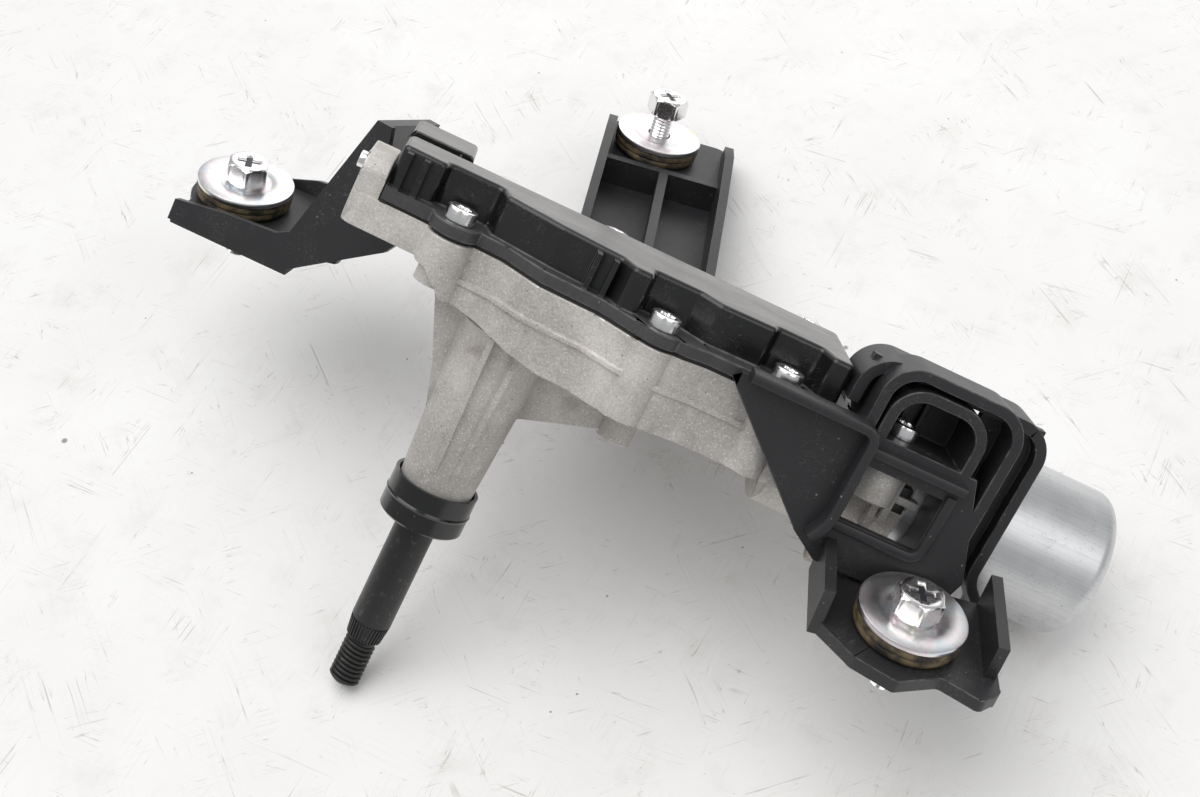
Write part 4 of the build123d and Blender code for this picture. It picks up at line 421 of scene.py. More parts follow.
@dataclass(frozen=True)
class BrightZinc:
    """Zinc plating with the faint pink, yellow and blue of its passivation."""

    name: str
    silver: Colour = (0.88, 0.88, 0.875)
    pink: Colour = (0.88, 0.79, 0.82)
    yellow: Colour = (0.88, 0.85, 0.72)
    blue: Colour = (0.78, 0.82, 0.88)
    mark: Colour = (0.30, 0.28, 0.25)
    roughness: float = 0.2
    tint: float = 0.55

    def material(self) -> Material:
        """Builds the material.

        Returns:
            The material.
        """
        paint = Paint(self.name)
        film = paint.noise(6.5 * MM, 2.0, 0.55)
        stops = [
            (0.30, self.blue), (0.42, self.silver), (0.52, self.pink), (0.60, self.silver),
            (0.70, self.yellow)]
        tinted = paint.wire("ShaderNodeValToRGB", {"stops": stops}, {"Fac": film})
        marks = paint.scratches(0.5 * MM, 0.02, (0.4, 0.2, 0.9)).most(paint.specks(1.6 * MM, 0.10, 0.12))
        cloud = paint.noise(2.4 * MM, 3.0, 0.6)
        return paint.surface({
            "Base Color": paint.layered(self.silver, (self.tint, tinted), (marks * 0.5, self.mark)),
            "Metallic": 1.0,
            "Roughness": self.roughness + cloud * 0.16 - 0.06 + marks * 0.2,
            "Normal": paint.bump(paint.noise(0.8 * MM, 2.0, 0.5), 0.02 * MM, 0.5),
        })


@dataclass(frozen=True)
class CanSteel:
    """Zinc-plated drawn steel, satin, with scratches along the draw and grime low down."""

    silver: Colour = (0.74, 0.745, 0.75)
    grey: Colour = (0.58, 0.585, 0.59)
    grime: Colour = (0.13, 0.115, 0.095)
    grime_heights: Pair = (84.0 * MM, 67.0 * MM)

    def material(self) -> Material:
        """Builds the material.

        Returns:
            The material.
        """
        paint = Paint("can_steel")
        drawn = paint.noise(0.5 * MM, 3.0, 0.6, paint.stretched((50.0, 1.0, 1.0)))
        clouds = paint.noise(9 * MM, 4.0, 0.6)
        lines = paint.scratches(0.8 * MM, 0.012, (0.0, 0.15, 0.25)).most(
            paint.scratches(1.1 * MM, 0.010, (0.0, -0.3, -0.4)))
        low = paint.height().rise(*self.grime_heights)
        specks = paint.specks(1.5 * MM, 0.30, 0.16) * (low * 0.9 + 0.1)
        film = low * paint.noise(3.5 * MM, 4.0, 0.7).rise(0.5, 0.75)
        return paint.surface({
            "Base Color": paint.layered(
                self.grey, ((drawn * 0.6 + clouds * 0.5).rise(0.3, 0.85), self.silver),
                (lines * 0.45, self.grime), (specks * 0.75 + film * 0.25, self.grime)),
            "Metallic": 0.92,
            "Roughness": 0.36 + clouds * 0.1 + film * 0.2 + lines * 0.1,
            "Normal": paint.bump(drawn, 0.015 * MM, 0.5),
        })


@dataclass(frozen=True)
class StainedRubber:
    """Black rubber whose flanges are stained amber by the mounts' wax."""

    name: str
    black: Colour = (0.016, 0.0145, 0.013)
    amber: Colour = (0.205, 0.150, 0.078)
    speck: Colour = (0.25, 0.22, 0.17)
    stain: float = 0.0

    def material(self) -> Material:
        """Builds the material.

        Returns:
            The material.
        """
        paint = Paint(self.name)
        clouds = paint.noise(4.5 * MM, 4.0, 0.6)
        grain = paint.noise(0.3 * MM, 2.0, 0.5)
        amber = clouds.rise(0.36, 0.66) * self.stain
        specks = paint.specks(1.4 * MM, 0.12, 0.15)
        return paint.surface({
            "Base Color": paint.layered(self.black, (amber, self.amber), (specks * 0.5, self.speck)),
            "Roughness": 0.58 - amber * 0.22 + grain * 0.1,
            "Normal": paint.bump(grain + clouds, 0.05 * MM, 0.5),
        })


@dataclass(frozen=True)
class BlackOxide:
    """Blackened steel of the spindle, rubbed bright here and there."""

    name: str = "black_oxide"
    black: Colour = (0.021, 0.020, 0.020)
    bare: Colour = (0.20, 0.19, 0.18)
    roughness: float = 0.34
    rubbed: float = 0.35

    def material(self) -> Material:
        """Builds the material.

        Returns:
            The material.
        """
        paint = Paint(self.name)
        turning = paint.noise(0.35 * MM, 2.0, 0.5, paint.stretched((20.0, 20.0, 1.0)))
        patch = paint.noise(2.2 * MM, 4.0, 0.65)
        wear = patch.rise(0.55, 0.72) * self.rubbed + paint.rounded_edges() * 0.3
        return paint.surface({
            "Base Color": paint.layered(self.black, (wear, self.bare)),
            "Metallic": 0.25 + wear * 0.6,
            "Roughness": self.roughness + patch * 0.14 - 0.04,
            "Normal": paint.bump(turning + patch, 0.02 * MM, 0.5),
        })


@dataclass(frozen=True)
class InnerFinish:
    """Finish of a piece inside the case: one colour with a fine grain and slight blotches."""

    name: str
    colour: Colour
    metallic: float = 0.0
    roughness: float = 0.4
    grain: float = 0.4 * MM
    darkest: float = 0.72

    def material(self) -> Material:
        """Builds the material.

        Returns:
            The material.
        """
        paint = Paint(self.name)
        blotch = paint.noise(3 * MM, 3.0, 0.6)
        grain = paint.noise(self.grain, 2.0, 0.5)
        darker = tuple(channel * self.darkest for channel in self.colour)
        return paint.surface({
            "Base Color": paint.layered(darker, ((blotch * 0.7 + grain * 0.5).rise(0.3, 0.85), self.colour)),
            "Metallic": self.metallic,
            "Roughness": self.roughness + blotch * 0.12 - 0.04,
            "Normal": paint.bump(grain, 0.02 * MM, 0.5),
        })


@dataclass(frozen=True)
class BenchTop:
    """Pale bench top with faint scratches and crumbs, clear from behind and far out."""

    worn: Colour = (0.83, 0.815, 0.80)
    clean: Colour = (0.88, 0.87, 0.86)
    stain: Colour = (0.62, 0.585, 0.53)
    scratch: Colour = (0.40, 0.34, 0.29)
    crumb: Colour = (0.16, 0.10, 0.06)
    scratch_sets: tuple[Pair, ...] = ((1.3, 0.3), (1.7, 1.1), (2.2, 2.0), (1.5, 2.7))
    clear: Pair = (0.62, 0.95)

    def material(self) -> Material:
        """Builds the material.

        Returns:
            The material.
        """
        paint = Paint("bench")
        tone = paint.noise(60 * MM, 4.0, 0.6).rise(0.3, 0.8)
        stain = paint.noise(16 * MM, 5.0, 0.65).rise(0.5, 0.78)
        sets = [paint.scratches(size * MM, 0.0045, (0.0, 0.0, turn)) for size, turn in self.scratch_sets]
        crumbs = paint.specks(7 * MM, 0.12, 0.055).most(paint.specks(27 * MM, 0.22, 0.04))
        colour = paint.layered(
            self.worn, (tone, self.clean), (stain * 0.30, self.stain),
            *((lines * 0.6, self.scratch) for lines in sets), (crumbs * 0.75, self.crumb))
        shader = paint.wire("ShaderNodeBsdfPrincipled", None, {"Base Color": colour, "Roughness": 0.5})
        back = paint.wire("ShaderNodeNewGeometry", output="Backfacing")
        reach = paint.wire("ShaderNodeVectorMath", {"operation": "LENGTH"}, {0: paint.place}, "Value")
        gone = back.most(reach.rise(*self.clear))
        clear = paint.wire("ShaderNodeBsdfTransparent")
        mixed = paint.wire("ShaderNodeMixShader", None, {0: gone, 1: shader, 2: clear})
        paint.node("ShaderNodeOutputMaterial", None, {"Surface": mixed})
        return paint.material


INNER_FINISHES = {
    "steel": InnerFinish("ground_steel", (0.60, 0.60, 0.61), 1.0, 0.28),
    "sintered": InnerFinish("sintered_bronze", (0.42, 0.31, 0.20), 0.9, 0.5),
    "contact_bronze": InnerFinish("contact_bronze", (0.74, 0.53, 0.30), 1.0, 0.3),
    "copper": InnerFinish("enamelled_copper", (0.62, 0.25, 0.11), 0.85, 0.3),
    "core_steel": InnerFinish("laminated_steel", (0.33, 0.33, 0.34), 0.9, 0.45),
    "magnet": InnerFinish("ferrite", (0.06, 0.058, 0.057), 0.1, 0.6),
    "carbon": InnerFinish("carbon", (0.035, 0.035, 0.036), 0.2, 0.5),
    "board": InnerFinish("contact_board", (0.10, 0.16, 0.07), 0.0, 0.45),
    "gear_plastic": InnerFinish("gear_plastic", (0.72, 0.70, 0.62), 0.0, 0.42),
    Slot.RUBBER.value: StainedRubber("seal_rubber"),
    Slot.COVER.value: BlackMoulding(
        "collar_black", base=(0.005, 0.005, 0.005), roughness=0.16, coat=0.3, dust=0.08, scuffs=0.2),
    Slot.BRACKET.value: BlackMoulding("inner_black", roughness=0.4, dust=0.0),
    Slot.BLACK_STEEL.value: BlackOxide("inner_black_oxide"),
}


# Mesh building


def new_object(name: str, mesh: Mesh) -> Object:
    """Links a mesh into the scene as an object at the origin.

    Args:
        name: the object's name.
        mesh: its mesh.

    Returns:
        The object.
    """
    thing = bpy.data.objects.new(name, mesh)
    bpy.context.scene.collection.objects.link(thing)
    return thing


def dress(thing: Object, body: Body, slot: Slot, finish: Material, *nodes: str) -> None:
    """Makes a mesh object a finished piece.

    Args:
        thing: the object.
        body: the body that it rides on.
        slot: its material slot in the record; not used.
        finish: its material.
        nodes: the CAD nodes that it stands for.
    """
    thing.data.materials.clear()
    thing.data.materials.append(finish)
    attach(thing, body.value)
    if nodes:
        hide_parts(*nodes)


def evaluated(thing: Object) -> Object:
    """Turns a thing with modifiers into a plain mesh object.

    Args:
        thing: the object, whose modifiers are all taken.

    Returns:
        The same object with the result as its mesh and no modifiers.
    """
    graph = bpy.context.evaluated_depsgraph_get()
    mesh = bpy.data.meshes.new_from_object(thing.evaluated_get(graph))
    thing.modifiers.clear()
    thing.data = mesh
    return thing


@dataclass(frozen=True)
class Rounding:
    """How a copy of a CAD node gets its moulded edges: widths in metres, angles in degrees."""

    width: float
    sharp: float = 30.0
    flat: float = 0.6
    smooth: float = 42.0
    weld: float = 0.002 * MM
    share: float = 0.4
    turned_away: float = 0.87
    level: float = 0.01
    probes: Triple = (0.1, 0.5, 0.9)
    least: float = 1e-6
    passes: int = 3

    def room(self, edge: bmesh.types.BMEdge) -> float:
        """Free width beside an edge in the faces that share it.

        Args:
            edge: the edge.

        Returns:
            The shortest way across a face from it, or the length of a neighbour that turns away.
        """
        free = 1.0
        for loop in edge.link_loops:
            low, high = loop.vert.co, loop.link_loop_next.vert.co
            along = (high - low).normalized()
            inward = loop.face.normal.cross(along)
            for side in (loop.link_loop_prev.edge, loop.link_loop_next.edge):
                way = (side.verts[1].co - side.verts[0].co).normalized()
                if abs(way.dot(along)) < self.turned_away:
                    free = min(free, side.calc_length())
            others = [other for other in loop.face.edges
                      if other is not edge and other.calc_face_angle(1.0) >= self.level]
            for part, other in product(self.probes, others):
                point = low.lerp(high, part)
                before, after = ((vert.co - point).dot(along) for vert in other.verts)
                if before * after < 0.0:
                    near, far = ((vert.co - point).dot(inward) for vert in other.verts)
                    depth = near + (far - near) * before / (before - after)
                    if depth > self.least:
                        free = min(free, depth)
        return free

    def weigh(self, form: Form) -> None:
        """Writes the bevel weights of sharp edges by their room, evened out along each chain of edges.

        Args:
            form: the form that is marked.
        """
        weight = form.edges.layers.float.new("bevel_weight_edge")
        limit = math.radians(self.sharp)
        sharp = [edge for edge in form.edges if edge.is_manifold and edge.calc_face_angle(0.0) > limit]
        for edge in sharp:
            edge[weight] = min(1.0, self.share * self.room(edge) / self.width)
        for _ in range(self.passes):
            least = [
                min(other[weight] for vert in edge.verts for other in vert.link_edges if other[weight] > 0.0)
                for edge in sharp]
            for edge, value in zip(sharp, least):
                edge[weight] = value

    def copy(self, node: str, name: str) -> Object:
        """Makes a welded copy of a CAD node with rounded edges that carry the edge mark.

        Args:
            node: the CAD node.
            name: the new piece's name.

        Returns:
            The new object, without a material.
        """
        form = bmesh.new()
        form.from_mesh(frame["nodes"][node].data)
        bmesh.ops.remove_doubles(form, verts=form.verts, dist=self.weld)
        bmesh.ops.dissolve_limit(
            form, angle_limit=math.radians(self.flat), verts=form.verts, edges=form.edges,
            use_dissolve_boundaries=False)
        self.weigh(form)
        many = [face for face in form.faces if len(face.verts) > 4]
        bmesh.ops.triangulate(form, faces=many, quad_method="BEAUTY", ngon_method="BEAUTY")
        bmesh.ops.join_triangles(
            form, faces=form.faces, angle_face_threshold=math.radians(1), angle_shape_threshold=math.pi)
        mesh = bpy.data.meshes.new(name)
        form.to_mesh(mesh)
        form.free()
        for _ in range(2):  # the second one marks what the bevel adds
            mesh.materials.append(None)
        thing = new_object(name, mesh)
        bevel = thing.modifiers.new("edges", "BEVEL")
        settings = {
            "width": self.width, "segments": 2, "limit_method": "WEIGHT", "use_clamp_overlap": False,
            "material": 1}
        for key, value in settings.items():
            setattr(bevel, key, value)
        mesh = evaluated(thing).data
        marks = [float(polygon.material_index) for polygon in mesh.polygons]
        mesh.attributes.new(EDGE_MARK, "FLOAT", "FACE").data.foreach_set("value", marks)
        for polygon in mesh.polygons:
            polygon.material_index = 0
            polygon.use_smooth = True
        mesh.set_sharp_from_angle(angle=math.radians(self.smooth))
        thing.modifiers.new("weights", "WEIGHTED_NORMAL").keep_sharp = True
        return evaluated(thing)


def hex_section(across: float, cap: float = math.inf) -> Section:
    """Hexagon of a width across flats, cut by a circle of radius cap."""
    step = math.pi / 3
    return lambda angle: min(across / 2 / math.cos((angle + step / 2) % step - step / 2), cap)


def star_section(radius: float, lobe: float, count: int = 6) -> Section:
    """Star with soft lobes."""
    return lambda angle: radius + lobe * math.cos(count * angle)


def cross_section(half: float, arm: float) -> Section:
    """Cross of two bars.

    Args:
        half: half the length of a bar.
        arm: its width.

    Returns:
        Its radius by angle.
    """
    def radius(angle: float) -> float:
        """Distance to the cross's edge at an angle."""
        turn = (angle + math.pi / 4) % (math.pi / 2) - math.pi / 4
        side = arm / 2 / max(abs(math.sin(turn)), 1e-6)
        return max(min(half / math.cos(turn), side), arm / math.sqrt(2))
    return radius


def skinned(loops: Sequence[Sequence[Triple]], closed: bool = False) -> Form:
    """Skin over loops of equally many points.

    Args:
        loops: the loops in order, in millimetres.
        closed: whether the last loop joins the first; otherwise both ends are capped.

    Returns:
        The closed form in metres, its faces outwards.
    """
    form = bmesh.new()
    rows = [[form.verts.new([part * MM for part in point]) for point in loop] for loop in loops]
    pairs = list(zip(rows, rows[1:])) + ([(rows[-1], rows[0])] if closed else [])
    for low, high in pairs:
        for step in range(len(low)):
            after = (step + 1) % len(low)
            form.faces.new((low[step], low[after], high[after], high[step]))
    if not closed:
        form.faces.new(rows[0][::-1])
        form.faces.new(rows[-1])
    bmesh.ops.recalc_face_normals(form, faces=form.faces)
    return form


def turned(rings: Iterable[tuple[float | Section, float]], segments: int, closed: bool = False) -> Form:
    """Skin over rings about the Z axis.

    Args:
        rings: radius or section, and height, of each ring in order, in millimetres.
        segments: points round.
        closed: whether the last ring joins the first; otherwise both ends are capped.

    Returns:
        The closed form in metres, its faces outwards.
    """
    angles = [2 * math.pi * step / segments for step in range(segments)]
    loops = []
    for section, height in rings:
        radii = [section(angle) if callable(section) else section for angle in angles]
        loops.append([
            (radius * math.cos(angle), radius * math.sin(angle), height)
            for radius, angle in zip(radii, angles)])
    return skinned(loops, closed)


def to_mesh(form: Form, name: str, at: Matrix | None = None) -> Mesh:
    """Writes a form to a mesh that is smooth but for its sharp edges.

    Args:
        form: the form, which is freed.
        name: the mesh's name.
        at: where it goes, its own place if not given.

    Returns:
        The mesh.
    """
    if at is not None:
        form.transform(at)
    mesh = bpy.data.meshes.new(name)
    form.to_mesh(mesh)
    form.free()
    for polygon in mesh.polygons:
        polygon.use_smooth = True
    mesh.set_sharp_from_angle(angle=SMOOTH_ANGLE)
    return mesh


def joined(meshes: Iterable[Mesh], name: str) -> Object:
    """Makes one object of several meshes.

    Args:
        meshes: the meshes.
        name: the object's name.

    Returns:
        The object.
    """
    form = bmesh.new()
    for mesh in meshes:
        form.from_mesh(mesh)
    return new_object(name, to_mesh(form, name))


def bar(low: Triple, high: Triple, edge: float) -> Mesh:
    """Box with rounded edges.

    Args:
        low: its corner with the least values, in millimetres.
        high: the corner across.
        edge: width of the rounding.

    Returns:
        The mesh.
    """
    form = bmesh.new()
    bmesh.ops.create_cube(form, size=1.0)
    bmesh.ops.scale(form, vec=Vector(high) - Vector(low), verts=form.verts)
    bmesh.ops.bevel(form, geom=form.edges, offset=edge, segments=2, profile=0.5, affect="EDGES")
    bmesh.ops.translate(form, vec=(Vector(high) + Vector(low)) / 2, verts=form.verts)
    bmesh.ops.scale(form, vec=(MM, MM, MM), verts=form.verts)
    return to_mesh(form, "bar")


# Geometry Nodes


class Growth(Tree):
    """A Geometry Nodes tree with named inputs that repeats or sweeps a shape."""

    def __init__(self, name: str, finish: Material, inputs: dict[str, float]) -> None:
        """Starts a tree.

        Args:
            name: name of the tree and of its mesh.
            finish: material of the result.
            inputs: value of each named input.
        """
        super().__init__(bpy.data.node_groups.new(name, "GeometryNodeTree"))
        self.name = name
        self.values = {}
        for way in ("INPUT", "OUTPUT"):
            self.tree.interface.new_socket("Geometry", in_out=way, socket_type="NodeSocketGeometry")
        for label, value in inputs.items():
            self._input(label, "NodeSocketInt" if isinstance(value, int) else "NodeSocketFloat", value)
        self._input("Finish", "NodeSocketMaterial", finish)
        self.start = self.node("NodeGroupInput")

    def _input(self, label: str, kind: str, value: object) -> None:
        """Adds a named input and keeps its value by the socket's identifier."""
        socket = self.tree.interface.new_socket(label, in_out="INPUT", socket_type=kind)
        self.values[socket.identifier] = value

    def _feed(self, target: NodeSocket, value: object) -> None:
        """Feeds an input, where a string names an input of the tree unless the socket holds text."""
        named = isinstance(value, str) and target.type != "STRING"
        super()._feed(target, self.start.outputs[value] if named else value)

    def grown(self, result: Wire, seed: Mesh | None = None) -> Mesh:
        """Ends the tree and runs it.

        Args:
            result: the geometry to keep.
            seed: mesh that the tree starts from.

        Returns:
            A plain mesh.
        """
        real = self.wire("GeometryNodeRealizeInstances", None, {0: result})
        shaded = self.wire("GeometryNodeSetMaterial", None, {"Geometry": real, "Material": "Finish"})
        self.node("NodeGroupOutput", None, {0: shaded})
        thing = new_object(self.name, seed or bpy.data.meshes.new(self.name))
        modifier = thing.modifiers.new("growth", "NODES")
        modifier.node_group = self.tree
        for identifier, value in self.values.items():
            modifier[identifier] = value
        mesh = evaluated(thing).data
        bpy.data.objects.remove(thing)
        return mesh


@dataclass(frozen=True)
class Thread:
    """A screw thread, in millimetres: crest radius, depth, rise of a turn and its ridge's share of that."""

    radius: float
    depth: float
    pitch: float
    ridge_share: float = 0.46
    steps: int = 40

    @property
    def core(self) -> float:
        """Radius under the thread."""
        return self.radius - self.depth

    def ridge(self, length: float, at: Matrix, finish: Material) -> Mesh:
        """Helical ridge of the thread.

        Args:
            length: its height.
            at: where its foot stands, with its axis as local Z.
            finish: its material.

        Returns:
            The ridge as a closed mesh.
        """
        half = self.pitch * self.ridge_share
        growth = Growth("thread_ridge", finish, {
            "Turns": length / self.pitch, "Radius": self.core * MM, "Length": length * MM,
            "Ridge": half * MM})
        spiral = growth.wire("GeometryNodeCurveSpiral", None, {
            "Resolution": self.steps, "Rotations": "Turns", "Start Radius": "Radius", "End Radius": "Radius",
            "Height": "Length"})
        upright = growth.wire("GeometryNodeSetCurveNormal", {"mode": "Z_UP"}, {"Curve": spiral})
        section = growth.wire("GeometryNodeCurvePrimitiveCircle", None, {"Resolution": 4, "Radius": "Ridge"})
        scale = (1.0, self.depth / half, 1.0)
        shaped = growth.wire("GeometryNodeTransform", None, {"Geometry": section, "Scale": scale})
        mesh = growth.grown(growth.wire("GeometryNodeCurveToMesh", None, {
            "Curve": upright, "Profile Curve": shaped, "Fill Caps": True}))
        mesh.transform(at)
        return mesh


def ridge_ring(count: int, size: Triple, radius: float, lean: float, finish: Material) -> Mesh:
    """Ring of straight ridges round Z, leaning with a cone.

    Args:
        count: how many.
        size: depth, width and length of a ridge, in millimetres.
        radius: distance of their middles from the axis.
        lean: angle from the axis in radians.
        finish: their material.

    Returns:
        The ridges as a mesh.
    """
    growth = Growth("ridge_ring", finish, {"Count": count, "Radius": radius * MM, "Lean": lean})
    circle = growth.wire("GeometryNodeMeshCircle", None, {"Vertices": "Count", "Radius": "Radius"})
    ridge = growth.wire("GeometryNodeMeshCube", None, {"Size": tuple(side * MM for side in size)})
    share = 2 * math.pi / Wire(growth, growth.start.outputs["Count"])
    angle = growth.wire("GeometryNodeInputIndex") * share
    turn = growth.wire("ShaderNodeCombineXYZ", None, {"Y": "Lean", "Z": angle})
    return growth.grown(growth.wire("GeometryNodeInstanceOnPoints", None, {
        "Points": circle, "Instance": ridge, "Rotation": turn}))


def screw_rows(head: Mesh, places: Sequence[Matrix], finish: Material, name: str, size: float) -> Mesh:
    """Sets one screw on each place.

    Args:
        head: the screw, upright at the origin.
        places: where each stands, with its axis as local Z.
        finish: its material.
        name: the mesh's name.
        size: scale of each screw.

    Returns:
        All screws as one mesh.
    """
    points = bpy.data.meshes.new(name + "_places")
    points.from_pydata([place.translation for place in places], [], [])
    turns = points.attributes.new("turn", "FLOAT_VECTOR", "POINT")
    for datum, place in zip(turns.data, places):
        datum.vector = place.to_euler("XYZ")
    screw = new_object(name + "_screw", head)
    growth = Growth(name, finish, {"Size": size})
    pattern = growth.wire("GeometryNodeObjectInfo", None, {"Object": screw}, "Geometry")
    turn = growth.wire("GeometryNodeInputNamedAttribute", {"data_type": "FLOAT_VECTOR"}, {"Name": "turn"})
    cloud = growth.wire("GeometryNodeMeshToPoints", None, {"Mesh": "Geometry"})
    placed = growth.wire("GeometryNodeInstanceOnPoints", None, {
        "Points": cloud, "Instance": pattern, "Rotation": turn, "Scale": "Size"})
    mesh = growth.grown(placed, points)
    bpy.data.objects.remove(screw)
    return mesh


# Sub-assemblies


def standing(origin: Sequence[float], up: Sequence[float], across: Sequence[float],
             turn: float = 0.0) -> Matrix:
    """Placement that stands a piece on a point.

    Args:
        origin: the point in millimetres.
        up: direction of the piece's Z.
        across: direction near the piece's X.
        turn: turn about its Z in degrees.

    Returns:
        The placement, in metres.
    """
    z_axis = Vector(up).normalized()
    x_axis = (Vector(across) - z_axis * z_axis.dot(Vector(across))).normalized()
    axes = Matrix((x_axis, z_axis.cross(x_axis), z_axis)).transposed().to_4x4()
    return Matrix.Translation(Vector(origin) * MM) @ axes @ Matrix.Rotation(math.radians(turn), 4, "Z")


@dataclass
class Mouldings:
    """The case, the cover, the arms, the bracket and the can: welded copies with moulded edges."""

    case_edge: Rounding = Rounding(0.5 * MM)
    cover_edge: Rounding = Rounding(0.45 * MM)
    arm_edge: Rounding = Rounding(0.3 * MM)
    can_edge: Rounding = Rounding(0.25 * MM)
    arms: tuple[str, ...] = ("left_arm", "rear_arm", "front_bracket")
    # the cover's top gets a grey film that is partly dust and partly painted reflection
    gloss: BlackMoulding = BlackMoulding(
        "cover_black", base=(0.0065, 0.0065, 0.007), roughness=0.24, coat=0.2, dust=0.3, scuffs=0.4,
        dull_below=101 * MM, dust_and_sheen_above=102 * MM)
    satin: BlackMoulding = BlackMoulding("bracket_black", roughness=0.38, dust=0.2, scuffs=0.6)

    def build(self) -> None:
        """Makes and dresses each piece."""
        satin = self.satin.material()
        pieces = (
            ("gear_case", "case_casting", self.case_edge, Slot.CAST, CastAluminium().material()),
            ("gear_cover", "cover_moulding", self.cover_edge, Slot.COVER, self.gloss.material()),
            *((arm, arm + "_moulding", self.arm_edge, Slot.BRACKET, satin) for arm in self.arms),
            ("motor_can", "can_shell", self.can_edge, Slot.CAN, CanSteel().material()))
        for node, name, edge, slot, finish in pieces:
            dress(edge.copy(node, name), Body.HOUSING, slot, finish, node)


@dataclass
class BracketTrim:
    """Raised rims on the front bracket: round its wing, along the shelf and beside the window."""

    front: float = -30.0
    root: float = 0.4
    wall: float = 2.4
    corner: float = 3.2
    corner_steps: int = 6
    soft: float = 0.5
    rims: tuple = (
        (-35.0, ((48.0, 101.8), (78.2, 101.8), (78.2, 79.0), (75.8, 74.5))),
        (-32.4, ((79.0, 97.4), (102.6, 97.4))),
        (-31.2, ((79.4, 78.7), (100.8, 78.7), (100.8, 95.0))),
    )

    def path(self, points: Sequence[Pair]) -> list[Vector]:
        """Rounds the corners of a line.

        Args:
            points: its ends and corners, as x and z in millimetres.

        Returns:
            The points along it.
        """
        line = [Vector(point) for point in points]
        rounded = [line[0]]
        for before, corner, after in zip(line, line[1:], line[2:]):
            start = corner + (before - corner).normalized() * self.corner
            end = corner + (after - corner).normalized() * self.corner
            for step in range(self.corner_steps + 1):
                share = step / self.corner_steps
                rounded.append(start.lerp(corner, share).lerp(corner.lerp(end, share), share))
        return rounded + [line[-1]]

    def rim(self, edge: float, points: Sequence[Pair]) -> Mesh:
        """One rim: a wall along a line, its outer edges rounded.

        Args:
            edge: depth that it reaches from the bracket's face.
            points: the line's ends and corners.

        Returns:
            The rim as a mesh.
        """
        foot, slant = self.front + self.root, self.soft * 0.3
        flank = (
            (1.0, foot), (1.0, edge + self.soft), (1.0 - slant, edge + slant),
            (1.0 - 2 * self.soft / self.wall, edge))
        profile = flank + tuple((-share, depth) for share, depth in reversed(flank))
        line = self.path(points)
        loops = []
        for index, point in enumerate(line):
            way = (line[min(index + 1, len(line) - 1)] - line[max(index - 1, 0)]).normalized()
            side = Vector((-way.y, way.x)) * self.wall / 2
            loops.append([
                (point.x + side.x * share, depth, point.y + side.y * share) for share, depth in profile])
        return to_mesh(skinned(loops), "rim")

    def build(self) -> None:
        """Makes and dresses the rims."""
        finish = BlackMoulding("trim_black", roughness=0.38, dust=0.2, scuffs=0.3).material()
        rims = [self.rim(edge, points) for edge, points in self.rims]
        dress(joined(rims, "bracket_rims"), Body.HOUSING, Slot.BRACKET, finish)


@dataclass
class BellCross:
    """Cast cross on the motor's bell that shows in the bracket's window, with black blocks in its corners as
    painted shade in its slots.
    """

    centre: Pair = (92.2, 87.2)
    arm: float = 1.9
    reach: Pair = (6.2, 4.6)
    longer: Pair = (1.5, 1.0)
    edge: float = 0.35
    slot: Pair = (2.7, 2.2)
    slot_edge: float = 0.1
    front: float = -21.4
    slot_depth: float = 0.7
    back: float = -17.0

    def build(self) -> None:
        """Makes and dresses the cross and the black blocks of painted shade in its slots."""
        x, z = self.centre
        across, high = self.reach
        below, above = self.longer
        half = self.arm / 2
        cross = (
            bar((x - across, self.front, z - half), (x + across, self.back, z + half), self.edge),
            bar((x - half, self.front - 0.1, z - high - below),
                (x + half, self.back, z + high + above), self.edge))
        dress(joined(cross, "bell_cross"), Body.HOUSING, Slot.CAST, CastAluminium("cast_cross").material())
        # painted shade: black blocks fill the slots in the cross's corners
        wide, tall = self.slot
        slots = []
        for side, way in product((-1, 1), repeat=2):
            left = x + side * (half + wide / 2) - wide / 2
            low = z + way * (half + tall / 2) - tall / 2
            slots.append(bar(
                (left, self.front + self.slot_depth, low), (left + wide, self.back, low + tall),
                self.slot_edge))
        dark = BlackOxide("slot_black", rubbed=0.1).material()
        dress(joined(slots, "bell_slots"), Body.HOUSING, Slot.BLACK_STEEL, dark)


